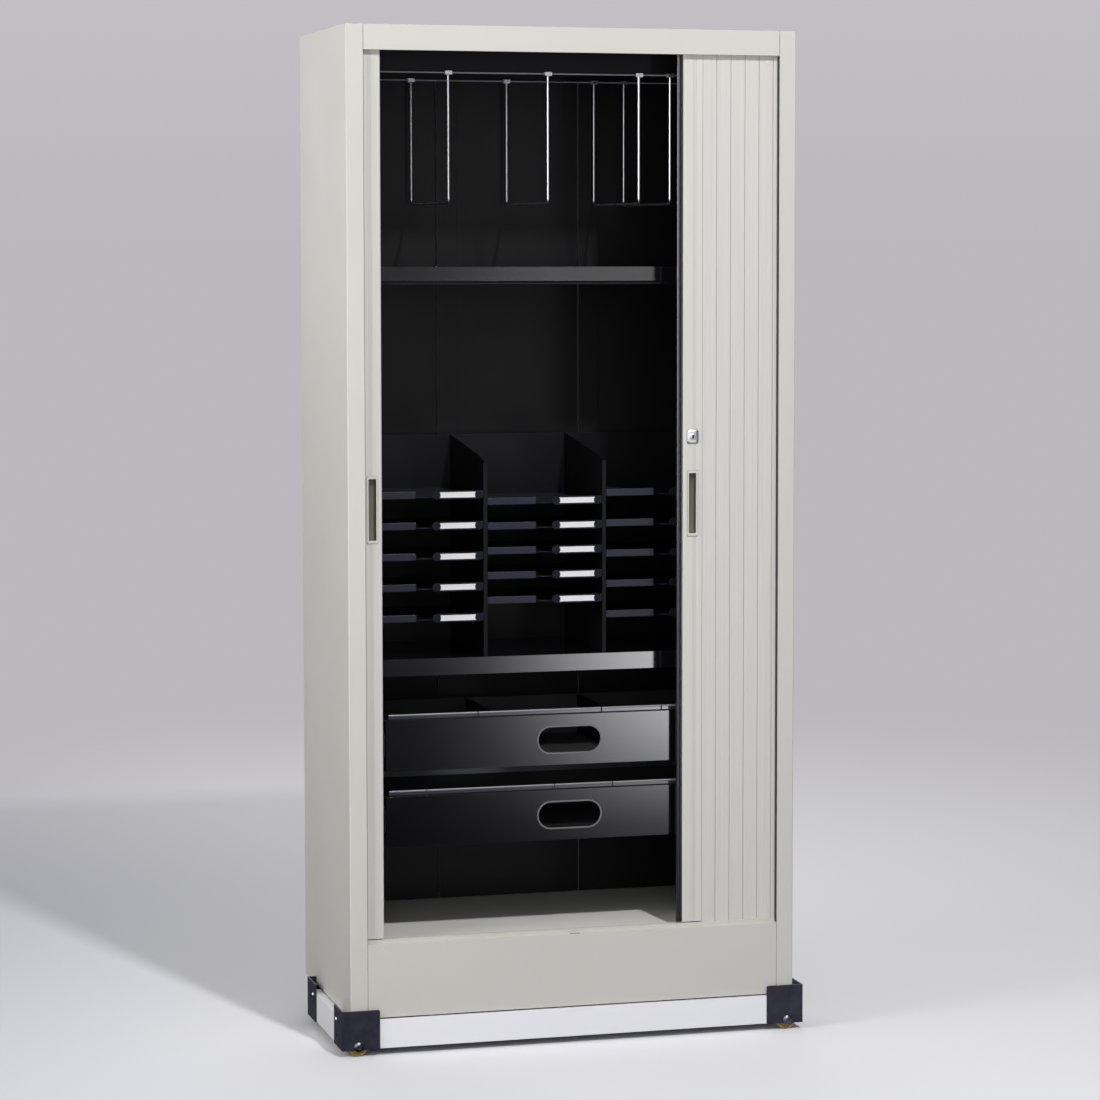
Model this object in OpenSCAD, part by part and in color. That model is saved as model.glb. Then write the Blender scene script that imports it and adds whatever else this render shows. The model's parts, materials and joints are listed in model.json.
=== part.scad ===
// Tall steel cabinet with two sideways tambour doors on a wheeled carriage.
// Millimetres. The front faces -Y, +Z is up, and the wheels stand on z = 0.

/* [Cabinet body] */
// Width over the two side panels
cabinet_w = 914; // [860:2:1000]
// Depth from the front face to the back
cabinet_d = 457; // [440:1:520]
// Height from the underside to the top
cabinet_h = 1937; // [1900:1:2000]
// Thickness of the body sheet
sheet_t = 1.5; // [1:0.1:2]
// Width of each upright front stile
stile_w = 34.6; // [32:0.1:38]
// Depth of the fold along the inner edge of a stile
stile_fold = 9; // [6:0.5:10]
// Radius of the two upright front corners
corner_r = 3; // [2:0.5:6]
// Height of the header above the opening
header_h = 49; // [40:1:70]
// Height of the kick panel below the opening
kick_h = 145; // [110:1:180]
// Depth of the lips that edge the opening above and below
lip_d = 10; // [6:0.5:10]
// Width of the fold at the back of each side panel
rear_fold = 20; // [12:1:30]
// Gap at the seams between the front pieces
seam = 0.7; // [0.2:0.1:1]
// Height of the inner ceiling above the header's lower edge
ceiling_lift = 12; // [10:1:20]

/* [Doors] */
// Distance from the front face back to the faces of the doors
door_setback = 12; // [11.5:0.5:16]
// Thickness of the slats
slat_t = 8; // [6:0.5:9]
// Width of one slat
slat_pitch = 29.4; // [24:0.1:34]
// Slats in each curtain
slat_count = 14; // [13:1:14]
// Narrow strips pressed into one slat
strips = 3; // [2:1:4]
// Depth of the groove between two slats
slat_groove = 2; // [1:0.1:3]
// Depth of the groove between two strips
strip_groove = 0.6; // [0.3:0.1:1]
// Radius of the turn at the cabinet's corner, at the inner face of the slats
turn_r = 17; // [14:0.5:18]
// Gap between the slats and the side panel
pocket_gap = 4.5; // [3:0.1:6]
// Width of the rail that leads each door
lead_w = 39.3; // [34:0.1:46]
// Thickness of the lead rail
lead_t = 18; // [16:0.5:20]
// Wall of the hollow lead rail
lead_wall = 1.6; // [1.2:0.1:2.2]
// Width of the rubber gasket on the right door
gasket_w = 11.7; // [8:0.1:14]
// Distance that the left door stands from fully open
left_door_gap = 0.5; // [0.2:0.1:200]
// Distance from the middle of the cabinet to the gasket's edge as the right door stands
right_door_x = 214.8; // [120:0.1:300]

/* [Door fittings] */
// Height of the pulls' centre above the cabinet's underside
pull_z = 999; // [800:1:1080]
// Width and height of a pull's frame
pull_size = [23, 132]; // [18:1:26]
// Width of the frame round the recess of a pull
pull_frame = 4; // [2:0.5:5]
// Thickness of the frame in front of the rail
pull_lip = 1.5; // [1:0.1:2]
// Height of the lock above the cabinet's underside
lock_z = 1132; // [1110:1:1300]
// Width and height of the lock's plate
lock_plate = [22, 29]; // [18:1:32]
// Diameter of the lock's turning cylinder
lock_d = 12; // [10:0.5:14]

/* [Inside] */
// Distance from the front face to the shelves and the divider rail
shelf_setback = 100; // [90:1:130]
// Distance from the inner ceiling down to the upper shelf
upper_shelf_drop = 430; // [340:1:520]
// Thickness of the upper shelf
upper_shelf_h = 28; // [20:1:36]
// Height of the lower shelf's top face
lower_shelf_z = 694; // [680:1:740]
// Thickness of the lower shelf
lower_shelf_h = 34; // [24:1:40]
// Distance from the inner ceiling down to the lower edge of the divider rails
divider_rail_drop = 50; // [20:1:100]
// Places of the wire dividers from the middle
divider_x = [-230, -27, 161, 226]; // [-400:1:400]
// Height of a wire divider
divider_h = 252; // [200:1:300]
// Diameter of the divider wire
wire_d = 5; // [4:0.5:6]
// Radius of the bends in the divider wire
wire_bend_r = 10; // [6:0.5:20]

/* [Letter sorter] */
// Distance from one upright of the sorter to the next
sorter_pitch = 245.6; // [220:0.1:255]
// Distance from the slotted uprights on the left to the sorter
sorter_gap = 24.4; // [17:0.1:37]
// Height of the uprights at the front
sorter_front_h = 388; // [370:1:420]
// Height of the uprights at the back
sorter_back_h = 428; // [388:1:440]
// Distance from the shelf's back edge to the back of the sorter
sorter_inset = 40; // [30:1:80]
// Thickness of the sorter's sheet
sorter_t = 1.2; // [1:0.1:1.6]
// Trays in each column
tray_count = 5; // [3:1:5]
// Height of the lowest tray of each column above the shelf
tray_low = [72, 104, 70]; // [60:1:110]
// Distance between the trays of each column
tray_pitch = [61.3, 49.5, 61.3]; // [45:0.1:64]
// Height of a tray's front lip
tray_lip = 14; // [8:0.5:16]
// Width of the finger notch in a tray
notch_w = 42; // [30:1:50]
// Width of a label holder
label_w = 104; // [80:1:105]

/* [Drawers] */
// Width of the mounts between the slotted uprights and the runners
mount_w = 53; // [47:1:77]
// Height of a drawer front
drawer_h = 101; // [90:1:110]
// Distance from the front face to the drawer fronts
drawer_setback = 45; // [40:1:60]
// Heights of the lower edges of the two drawer fronts
drawer_z = [328, 479]; // [300:1:500]
// Distance from the drawer boxes to the back panel
drawer_clear = 34; // [29:1:79]
// Height of the drawer boxes
box_h = 84; // [70:1:90]
// Bays in the upper drawer
drawer_bays = 3; // [2:1:4]
// Length and height of the oval hand hole
hand_hole = [128, 51]; // [40:1:140]
// Thickness of one runner between a drawer and its mount
runner_t = 13; // [12:0.5:16]
// Height of a runner
runner_h = 45; // [35:1:50]

/* [Carriage] */
// Diameter of the wheels
wheel_d = 40; // [36:1:46]
// Width of a wheel
wheel_w = 18; // [14:1:18]
// Width of the carriage beyond each side panel
carriage_side = 19; // [17:1:26]
// Distance of the front brackets ahead of the front face
carriage_reach = 8; // [6:0.5:12]
// Length of the carriage from the front brackets to the rear ones
carriage_len = 350; // [330:1:420]
// Width of a corner bracket across the front
bracket_w = 76; // [72:1:90]
// Depth of a corner bracket along the side
bracket_d = 80; // [75:1:100]
// Height of a corner bracket
bracket_h = 78; // [72:1:90]
// Thickness of the bracket plate
bracket_t = 3; // [2.5:0.1:4]
// Height of a bracket's edge above the cabinet's underside
bracket_lap = 17; // [10:1:24]
// Distance from the axle down to a bracket's lower edge
axle_drop = 7; // [6:0.5:10]
// Distance from a bracket's outer side to the axle
axle_inset = 33; // [28:0.5:36]
// Height of the carriage beams
beam_h = 57; // [50:1:58]
// Depth of the carriage beams
beam_d = 30; // [25:1:35]
// Diameter of the axle bolts
axle_d = 8; // [6:1:9]
// Diameter and thickness of the bolt heads
head_size = [19, 6]; // [5:0.5:22]

/* [Hidden] */
$fn = 48;

// Small amount by which a cut runs past the face it opens
cut = 1;
// Gap of pieces that slide or drop into each other
fit_gap = 0.3;
// Depth of the ribs pressed into the back sheet
rib_d = 6;
// Gap between a turning shaft and its hole, on the radius
turn_gap = 0.08;

// Places of the body, from the floor and from the middle of the whole
half_w = cabinet_w / 2;
front_y = (carriage_reach + head_size[1] - cabinet_d) / 2;
back_y = front_y + cabinet_d;
wheel_r = wheel_d / 2;
bracket_z = wheel_r - axle_drop;
base_z = bracket_z + bracket_h - bracket_lap;
top_z = base_z + cabinet_h;
floor_z = base_z + kick_h;
head_z = top_z - header_h;
ceiling_z = head_z + ceiling_lift;
inner_x = half_w - sheet_t;
opening_x = half_w - stile_w;
inner_back_y = back_y - 2 * sheet_t;

// The path of the doors: straight across the front, round the corners and back along the sides
turn_x = inner_x - pocket_gap - slat_t - turn_r;
turn_y = front_y + door_setback + slat_t + turn_r;
door_y = front_y + door_setback;
track_gap = 0.6;
track_wall = 1.2;
track_h = 8;
track_end_y = inner_back_y - 4;
rail_bottom_z = floor_z + track_h + 1.5;
rail_top_z = ceiling_z - track_h - 1.5;
curtain_bottom_z = floor_z + sheet_t + track_gap;
curtain_top_z = ceiling_z - sheet_t - track_gap;
left_rail_x = left_door_gap + lead_w / 2 - turn_x;
right_rail_x = right_door_x + gasket_w + lead_w / 2;
arc_l = (turn_r + slat_t / 2) * PI / 2;
curtain_l = slat_pitch * slat_count;

// The liners and the uprights that carry the fittings
liner_x = turn_x + turn_r - 8.5;
liner_front_y = turn_y + 7;
liner_hem = 4.5;
standard_w = 24;
standard_d = 6;
standard_x = liner_x - sheet_t - standard_d;
standard_y = [front_y + shelf_setback + 30, inner_back_y - 50];
slot_size = [3.5, 14];
slot_pitch = 50;
shelf_t = 1.2;
shelf_lip = 14;
shelf_half_w = standard_x - 0.5;
shelf_front_y = front_y + shelf_setback;
shelf_back_y = inner_back_y - 8;
bracket_foot = 22;

upper_shelf_z = ceiling_z - base_z - upper_shelf_drop;
divider_rail_z = ceiling_z - divider_rail_drop;

// The sorter stands on the lower shelf
sorter_z = base_z + lower_shelf_z;
sorter_front_y = shelf_front_y + 6;
sorter_back_y = shelf_back_y - sorter_inset;
sorter_left = standard_x - sorter_gap;
sorter_flange = 8;
notch_start = 103;

// The drawers and the runners beside them
drawer_w = 2 * (standard_x - mount_w);
drawer_side_x = drawer_w / 2 - runner_t;
drawer_y = front_y + drawer_setback;
drawer_d = inner_back_y - drawer_clear - drawer_y;
drawer_t = 1.2;
drawer_fold = 12;
box_lift = 8;
runner_sheet = 1.5;
runner_front_y = drawer_y + 14;
runner_back_y = drawer_y + drawer_d - 6;
trim_w = 3;

// The carriage, measured from the outer corner of each bracket inward
carriage_x = half_w + carriage_side;
carriage_mid_y = front_y - carriage_reach + carriage_len / 2;
wheel_x = axle_inset;
wheel_y = bracket_t + 1.5;
cheek_y = wheel_y + wheel_w + 1.5;
cheek_h = 44;
nut_size = [15, 7];
side_beam_start = cheek_y + bracket_t + nut_size[1] + 2;
front_beam_end = wheel_x + wheel_r + 4;
beam_wall = 2.5;
strip_t = 3;
strip_w = 12;
beam_z = base_z - strip_t - beam_h;
flange_hole_y = side_beam_start + 21;
flange_hole_z = [bracket_z + 20, bracket_z + 52];
flange_hole_d = 7;

// A box given by its lowest and highest corners
module block(low, high) {
    translate(low)
        cube(high - low);
}

// A flat outline drawn in Y and Z, made into a bar along X
module bar_along_x(x0, x1) {
    translate([x0, 0, 0])
        rotate([90, 0, 90])
            linear_extrude(x1 - x0)
                children();
}

// A flat outline drawn in X and Z, made into a plate of the given thickness behind y
module plate_behind(y, t) {
    translate([0, y + t, 0])
        rotate([90, 0, 0])
            linear_extrude(t)
                children();
}

// An upright made from a flat outline drawn in X and Y
module upright(z0, z1) {
    translate([0, 0, z0])
        linear_extrude(z1 - z0)
            children();
}

// A square with its lowest and highest corners given
module patch(low, high) {
    translate(low)
        square(high - low);
}

module on_the_left() {
    mirror([1, 0, 0])
        children();
}

// A quarter of a ring, from +X round to -Y
module quarter_ring(r0, r1) {
    intersection() {
        difference() {
            circle(r1);
            circle(r0);
        }
        translate([0, -r1 - cut])
            square(r1 + cut);
    }
}

// Side panel with its stile, the fold behind the stile and the fold at the back
module side_outline() {
    difference() {
        union() {
            patch([inner_x, front_y], [half_w, back_y]);
            patch([opening_x, front_y], [half_w, front_y + sheet_t]);
            patch([inner_x - corner_r, front_y], [half_w, front_y + sheet_t + corner_r]);
            patch([opening_x, front_y], [opening_x + sheet_t, front_y + stile_fold]);
            patch([half_w - rear_fold, back_y - sheet_t], [half_w, back_y]);
        }
        difference() {
            patch([half_w - corner_r, front_y - cut], [half_w + cut, front_y + corner_r]);
            translate([half_w - corner_r, front_y + corner_r])
                circle(corner_r);
        }
        translate([inner_x - corner_r, front_y + sheet_t + corner_r])
            circle(corner_r);
        patch([inner_x - 2 * corner_r, front_y + sheet_t + corner_r], [inner_x, back_y - sheet_t]);
    }
}

module side_panel() {
    color([0.80, 0.79, 0.76])
        upright(base_z, top_z)
            side_outline();
}

// Back sheet with two pressed upright ribs
module back_panel() {
    rib_w = 40;
    color([0.72, 0.71, 0.68])
        upright(base_z, top_z - sheet_t) {
            difference() {
                patch([-inner_x, inner_back_y], [inner_x, back_y - sheet_t]);
                for (s = [-1, 1])
                    translate([s * half_w / 3, 0])
                        patch([-rib_w / 2, inner_back_y - cut], [rib_w / 2, back_y]);
            }
            for (s = [-1, 1])
                translate([s * half_w / 3, 0])
                    difference() {
                        patch([-rib_w / 2 - sheet_t, inner_back_y - rib_d], [rib_w / 2 + sheet_t, back_y - sheet_t]);
                        patch([-rib_w / 2, inner_back_y - rib_d + sheet_t], [rib_w / 2, back_y]);
                    }
        }
}

// Outline that keeps the top sheet clear of a stile's fold and of the fillet in its corner
module stile_clearance() {
    sheet_y = front_y + sheet_t;
    patch([opening_x, front_y], [opening_x + sheet_t, front_y + stile_fold]);
    polygon([
        [inner_x - corner_r, sheet_y],
        [inner_x - corner_r, sheet_y - cut],
        [inner_x + cut, sheet_y - cut],
        [inner_x + cut, sheet_y + corner_r],
        [inner_x, sheet_y + corner_r]
    ]);
}

// Top sheet, which also carries a stiffening channel across the middle
module top_panel() {
    channel_w = 60;
    color([0.86, 0.86, 0.84]) {
        difference() {
            block([-inner_x, front_y + sheet_t, top_z - sheet_t], [inner_x, back_y - sheet_t, top_z]);
            upright(top_z - sheet_t - cut, top_z + cut)
                for (s = [0, 1])
                    mirror([s, 0])
                        stile_clearance();
        }
        bar_along_x(-opening_x, opening_x)
            difference() {
                patch([-channel_w / 2, ceiling_z + sheet_t], [channel_w / 2, top_z - sheet_t / 2]);
                patch([-channel_w / 2 + sheet_t, ceiling_z + 2 * sheet_t], [channel_w / 2 - sheet_t, top_z - sheet_t]);
            }
    }
}

// Sheet above the opening that carries the upper track
module ceiling() {
    color([0.16, 0.16, 0.17])
        block([-inner_x, front_y + lip_d, ceiling_z], [inner_x, inner_back_y - rib_d, ceiling_z + sheet_t]);
}

module header() {
    color([0.85, 0.85, 0.83])
        bar_along_x(-opening_x + seam, opening_x - seam) {
            patch([front_y, head_z], [front_y + sheet_t, top_z]);
            patch([front_y, head_z], [front_y + lip_d, head_z + sheet_t]);
            patch([front_y, top_z - 2 * sheet_t], [front_y + 2 * lip_d, top_z - sheet_t]);
        }
}

module kick_panel() {
    color([0.76, 0.75, 0.72])
        difference() {
            bar_along_x(-opening_x + seam, opening_x - seam) {
                patch([front_y, base_z], [front_y + sheet_t, floor_z]);
                patch([front_y, floor_z - sheet_t], [front_y + lip_d, floor_z]);
                patch([front_y, base_z], [front_y + 2 * lip_d, base_z + sheet_t]);
            }
            strike_outline(0);
        }
}

// The slot in the lip of the kick panel and the insert that fills it
strike_size = [16, 3.5];
strike_y = front_y + 5.5;

module strike_outline(gap) {
    upright(floor_z - 6, floor_z + cut)
        translate([0, strike_y])
            square([strike_size[0] + 4 - 2 * gap, strike_size[1] + 2 - 2 * gap], center = true);
}

module strike_insert() {
    color([0.07, 0.07, 0.07])
        difference() {
            upright(floor_z - 5, floor_z)
                translate([0, strike_y])
                    square([strike_size[0] + 4, strike_size[1] + 2], center = true);
            upright(floor_z - 4, floor_z + cut)
                translate([0, strike_y])
                    square(strike_size, center = true);
        }
}

module base_panel() {
    color([0.62, 0.61, 0.59])
        block([-inner_x, front_y + 2 * lip_d, base_z], [inner_x, inner_back_y - rib_d, base_z + sheet_t]);
}

module floor_pan() {
    color([0.74, 0.73, 0.71])
        block([-inner_x, front_y + lip_d, floor_z - sheet_t], [inner_x, inner_back_y - rib_d, floor_z]);
}

// Two channels under the floor pan, from front to back
module plinth_channels() {
    channel_w = 50;
    color([0.62, 0.61, 0.59])
        for (s = [-1, 1])
            translate([s * half_w / 2, inner_back_y - 8, 0])
                rotate([90, 0, 0])
                    linear_extrude(inner_back_y - 8 - front_y - 3 * lip_d)
                        difference() {
                            patch([-channel_w / 2, base_z + sheet_t], [channel_w / 2, floor_z - sheet_t]);
                            patch([-channel_w, base_z + 2 * sheet_t], [channel_w / 2 - sheet_t, floor_z - 2 * sheet_t]);
                        }
}

// Inner wall of a door pocket, with a hem turned outward at its front edge
module liner() {
    color([0.15, 0.15, 0.16])
        upright(floor_z, ceiling_z) {
            patch([liner_x - sheet_t, liner_front_y], [liner_x, inner_back_y - rib_d]);
            patch([liner_x - sheet_t, liner_front_y], [liner_x + liner_hem, liner_front_y + sheet_t]);
        }
}

// Slotted upright channels on the liners
module standard() {
    first_z = floor_z + 2 * slot_pitch;
    slots = floor((ceiling_z - first_z - slot_pitch) / slot_pitch);
    difference() {
        upright(floor_z + 10, ceiling_z - 10)
            difference() {
                patch([standard_x, -standard_w / 2], [standard_x + standard_d, standard_w / 2]);
                patch([standard_x + sheet_t, sheet_t - standard_w / 2], [liner_x, standard_w / 2 - sheet_t]);
            }
        for (i = [0 : slots])
            translate([standard_x, 0, first_z + i * slot_pitch])
                cube([2 * sheet_t + cut, slot_size[0], slot_size[1]], center = true);
    }
}

module shelf_standards() {
    color([0.17, 0.17, 0.18])
        for (y = standard_y)
            translate([0, y, 0]) {
                standard();
                on_the_left()
                    standard();
            }
}

// A band along the doors' path, from t0 to t1 outside the slats' inner face
module path_band(t0, t1) {
    patch([-turn_x, turn_y - turn_r - t1], [turn_x, turn_y - turn_r - t0]);
    for (s = [0, 1])
        mirror([s, 0]) {
            translate([turn_x, turn_y])
                quarter_ring(turn_r + t0, turn_r + t1);
            patch([turn_x + turn_r + t0, turn_y], [turn_x + turn_r + t1, track_end_y]);
        }
}

// Channel that guides both doors: a base and two walls on the side given by up
module track(base_low, wall_low) {
    outer = slat_t + track_gap;
    upright(base_low, base_low + sheet_t)
        path_band(-track_gap - track_wall, outer + track_wall);
    upright(wall_low, wall_low + track_h - sheet_t) {
        path_band(outer, outer + track_wall);
        path_band(-track_gap - track_wall, -track_gap);
    }
}

module bottom_track() {
    color([0.78, 0.78, 0.77])
        track(floor_z, floor_z + sheet_t);
}

module top_track() {
    color([0.78, 0.78, 0.77])
        track(ceiling_z - sheet_t, ceiling_z - track_h);
}

// A folded steel shelf: top sheet, front and rear folds with lips, and end folds
module shelf(z, h) {
    bar_along_x(-shelf_half_w + shelf_t / 2, shelf_half_w - shelf_t / 2)
        difference() {
            patch([shelf_front_y, z - h], [shelf_back_y, z]);
            patch([shelf_front_y + shelf_t, z - h + shelf_t], [shelf_back_y - shelf_t, z - shelf_t]);
            patch([shelf_front_y + shelf_lip, z - h - cut], [shelf_back_y - shelf_lip, z - shelf_t]);
        }
    for (s = [0, 1])
        mirror([s, 0, 0])
            block([shelf_half_w - shelf_t, shelf_front_y, z - h], [shelf_half_w, shelf_back_y, z]);
}

module upper_shelf() {
    color([0.17, 0.17, 0.19])
        shelf(base_z + upper_shelf_z, upper_shelf_h);
}

module lower_shelf() {
    color([0.17, 0.17, 0.19])
        shelf(base_z + lower_shelf_z, lower_shelf_h);
}

// Brackets on the slotted uprights, with a foot under each corner of a shelf
module shelf_bracket(z) {
    plate_h = 34;
    block([standard_x - 2, -9, z - plate_h], [standard_x, 9, z]);
    block([standard_x - bracket_foot, -9, z - 2], [standard_x - 2, 9, z]);
    translate([0, 1, 0])
        rotate([90, 0, 0])
            linear_extrude(2)
                polygon([
                    [standard_x - 2, z - plate_h + 4],
                    [standard_x - 2, z - 2],
                    [standard_x - bracket_foot + 3, z - 2]
                ]);
}

module shelf_brackets() {
    color([0.16, 0.16, 0.17])
        for (s = [0, 1])
            mirror([s, 0, 0])
                for (y = standard_y, z = [upper_shelf_z - upper_shelf_h, lower_shelf_z - lower_shelf_h])
                    translate([0, y, 0])
                        shelf_bracket(base_z + z);
}

// Rails under the upper shelf for hanging files, with a beaded lower edge
module file_rails() {
    rail_h = 6;
    bead_r = 2;
    z = base_z + upper_shelf_z - upper_shelf_h;
    color([0.22, 0.22, 0.24])
        for (y = [shelf_front_y + shelf_lip / 2, shelf_back_y - shelf_lip / 2])
            bar_along_x(bracket_foot - standard_x + 2, standard_x - bracket_foot - 2) {
                patch([y - sheet_t / 2, z - rail_h], [y + sheet_t / 2, z]);
                translate([y, z - rail_h])
                    circle(bead_r);
            }
}

// Two rails under the ceiling, each with a lip that the wire dividers ride on
rail_lip = 14;
divider_y = [shelf_front_y, shelf_back_y - rail_lip];

module divider_rails() {
    z = divider_rail_z;
    color([0.18, 0.18, 0.20])
        for (y = divider_y)
            bar_along_x(-standard_x, standard_x) {
                patch([y + rail_lip - sheet_t, z], [y + rail_lip, ceiling_z]);
                patch([y, z], [y + rail_lip, z + sheet_t]);
            }
}

// A wire divider: two sliders that hug the rails' lips, and a bent wire between them
slider_size = [14, 10, 7.5];

module divider_slider() {
    difference() {
        translate([0, slider_size[1] / 2, 0])
            cube(slider_size, center = true);
        translate([0, slider_size[1] / 2 + 2, 0])
            cube([slider_size[0] + cut, slider_size[1], sheet_t + 2 * fit_gap], center = true);
    }
}

module divider(x) {
    z = divider_rail_z + sheet_t / 2;
    wire_top = z - slider_size[2] / 2;
    low_z = wire_top - divider_h;
    wire_y = [for (y = divider_y) y + 3];
    color([0.55, 0.55, 0.57])
        translate([x, 0, 0]) {
            for (y = divider_y)
                translate([0, y - 2 - fit_gap, z])
                    divider_slider();
            for (y = wire_y)
                translate([0, y, low_z + wire_bend_r])
                    cylinder(h = divider_h - wire_bend_r, d = wire_d);
            translate([0, wire_y[0] + wire_bend_r, low_z])
                rotate([-90, 0, 0])
                    cylinder(h = wire_y[1] - wire_y[0] - 2 * wire_bend_r, d = wire_d);
            for (end = [0, 1])
                translate([0, wire_y[end] + (1 - 2 * end) * wire_bend_r, low_z + wire_bend_r])
                    rotate([0, 0, 90])
                        rotate([90, 0, 0])
                            rotate([0, 0, 180 + 90 * end])
                                rotate_extrude(angle = 90)
                                    translate([wire_bend_r, 0])
                                        circle(d = wire_d);
        }
}

// Uprights of the sorter, with a flange along each front edge
function sorter_x(i) = i * sorter_pitch - sorter_left;

module sorter_uprights() {
    color([0.14, 0.14, 0.16])
        for (i = [0 : 3])
            translate([sorter_x(i), 0, 0]) {
                bar_along_x(0, sorter_t)
                    polygon([
                        [sorter_front_y, sorter_z],
                        [sorter_back_y, sorter_z],
                        [sorter_back_y, sorter_z + sorter_back_h],
                        [sorter_front_y + 60, sorter_z + sorter_front_h + 12],
                        [sorter_front_y, sorter_z + sorter_front_h]
                    ]);
                block(
                    [sorter_t / 2 - sorter_flange / 2, sorter_front_y - sorter_t, sorter_z],
                    [sorter_t / 2 + sorter_flange / 2, sorter_front_y, sorter_z + sorter_front_h]
                );
            }
}

module sorter_back() {
    color([0.12, 0.12, 0.14])
        block(
            [sorter_x(0), sorter_back_y, sorter_z],
            [sorter_x(3) + sorter_t, sorter_back_y + sorter_t, sorter_z + sorter_back_h]
        );
}

// A letter tray: a sheet with a rolled front lip and a finger notch through both
module tray(column, z) {
    x0 = sorter_x(column) + sorter_t + fit_gap;
    x1 = sorter_x(column + 1) - fit_gap;
    roll_r = 2.2;
    y = sorter_front_y;
    difference() {
        union() {
            block([x0, y + roll_r, z], [x1, sorter_back_y - fit_gap, z + sorter_t]);
            bar_along_x(x0 + sorter_flange / 2, x1 - sorter_flange / 2) {
                patch([y, z + sorter_t], [y + sorter_t, z + tray_lip]);
                translate([y + sorter_t, z + tray_lip])
                    circle(sorter_t, $fn = 24);
                difference() {
                    patch([y, z], [y + roll_r + cut, z + roll_r]);
                    difference() {
                        patch([y - cut, z - cut], [y + roll_r, z + roll_r]);
                        translate([y + roll_r, z + roll_r])
                            circle(roll_r);
                    }
                }
            }
        }
        translate([x0 + notch_start + notch_w / 2, y - cut, z - cut])
            linear_extrude(tray_lip + 4) {
                translate([-notch_w / 2, 0])
                    square([notch_w, 12]);
                translate([0, 12])
                    circle(notch_w / 2);
            }
    }
}

module tray_column(column) {
    color([0.15, 0.15, 0.17])
        for (i = [0 : tray_count - 1])
            tray(column, sorter_z + tray_low[column] + i * tray_pitch[column]);
}

// Holders for paper labels on the trays' lips, right of the notch
module label_holder(column, z) {
    holder_t = 2.5;
    h = tray_lip + 3;
    x1 = sorter_x(column + 1) - sorter_flange / 2;
    frame_w = 1.5;
    plate_behind(sorter_front_y - holder_t, holder_t)
        difference() {
            patch([x1 - label_w + h / 2, z - 1], [x1 - h / 2, z - 1 + h]);
            patch([x1 - label_w + 11, z - 1 + frame_w], [x1 - 11, z - 1 + h - frame_w]);
        }
    for (x = [x1 - label_w + h / 2, x1 - h / 2])
        translate([x, sorter_front_y, z - 1 + h / 2])
            rotate([90, 0, 0])
                cylinder(h = holder_t, d = h);
    block(
        [x1 - label_w + 11, sorter_front_y - 1, z - 1 + frame_w],
        [x1 - 11, sorter_front_y - fit_gap, z - 1 + h - frame_w]
    );
}

module label_holders() {
    color([0.10, 0.10, 0.12])
        for (c = [0 : 2], i = [0 : tray_count - 1])
            label_holder(c, sorter_z + tray_low[c] + i * tray_pitch[c]);
}

// Channels between the slotted uprights and the drawer runners
module runner_mount(z) {
    h = runner_h + 6;
    translate([0, runner_back_y, 0])
        rotate([90, 0, 0])
            linear_extrude(runner_back_y - runner_front_y)
                difference() {
                    patch([drawer_w / 2, z - h / 2], [standard_x, z + h / 2]);
                    patch([drawer_w / 2 + 2, z - h / 2 + 2], [standard_x + cut, z + h / 2 - 2]);
                }
}

// Outer member of a runner: a channel open toward the drawer
module runner_channel(z) {
    lip = 4;
    translate([0, runner_back_y, 0])
        rotate([90, 0, 0])
            linear_extrude(runner_back_y - runner_front_y)
                difference() {
                    patch([drawer_side_x + 2, z - runner_h / 2], [drawer_w / 2, z + runner_h / 2]);
                    patch(
                        [drawer_side_x, z - runner_h / 2 + runner_sheet],
                        [drawer_w / 2 - runner_sheet, z + runner_h / 2 - runner_sheet]
                    );
                }
    for (y = [runner_front_y + 40, runner_back_y - 40])
        translate([drawer_w / 2 - runner_sheet, y, z])
            rotate([0, -90, 0])
                cylinder(h = 1.2, r = lip);
}

// Inner member of a runner: a channel fixed to the drawer's side
module runner_slider(z) {
    h = runner_h - 2 * runner_sheet - 2 * fit_gap;
    translate([0, runner_back_y, 0])
        rotate([90, 0, 0])
            linear_extrude(runner_back_y - runner_front_y - 4)
                difference() {
                    patch([drawer_side_x, z - h / 2], [drawer_w / 2 - runner_sheet - 2, z + h / 2]);
                    patch(
                        [drawer_side_x + runner_sheet, z - h / 2 + runner_sheet],
                        [drawer_w / 2, z + h / 2 - runner_sheet]
                    );
                }
}

function runner_z(i) = base_z + drawer_z[i] + drawer_h / 2;

module both_sides() {
    children();
    on_the_left()
        children();
}

module runner_mounts() {
    color([0.16, 0.16, 0.17])
        both_sides()
            for (i = [0, 1])
                runner_mount(runner_z(i));
}

module runner_channels() {
    color([0.66, 0.66, 0.67])
        both_sides()
            for (i = [0, 1])
                runner_channel(runner_z(i));
}

module runner_sliders(i) {
    color([0.72, 0.72, 0.73])
        both_sides()
            runner_slider(runner_z(i));
}

// An oval with straight sides, drawn flat
module oval(size) {
    square([size[0] - size[1], size[1]], center = true);
    for (s = [-1, 1])
        translate([s * (size[0] - size[1]) / 2, 0])
            circle(d = size[1]);
}

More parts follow.
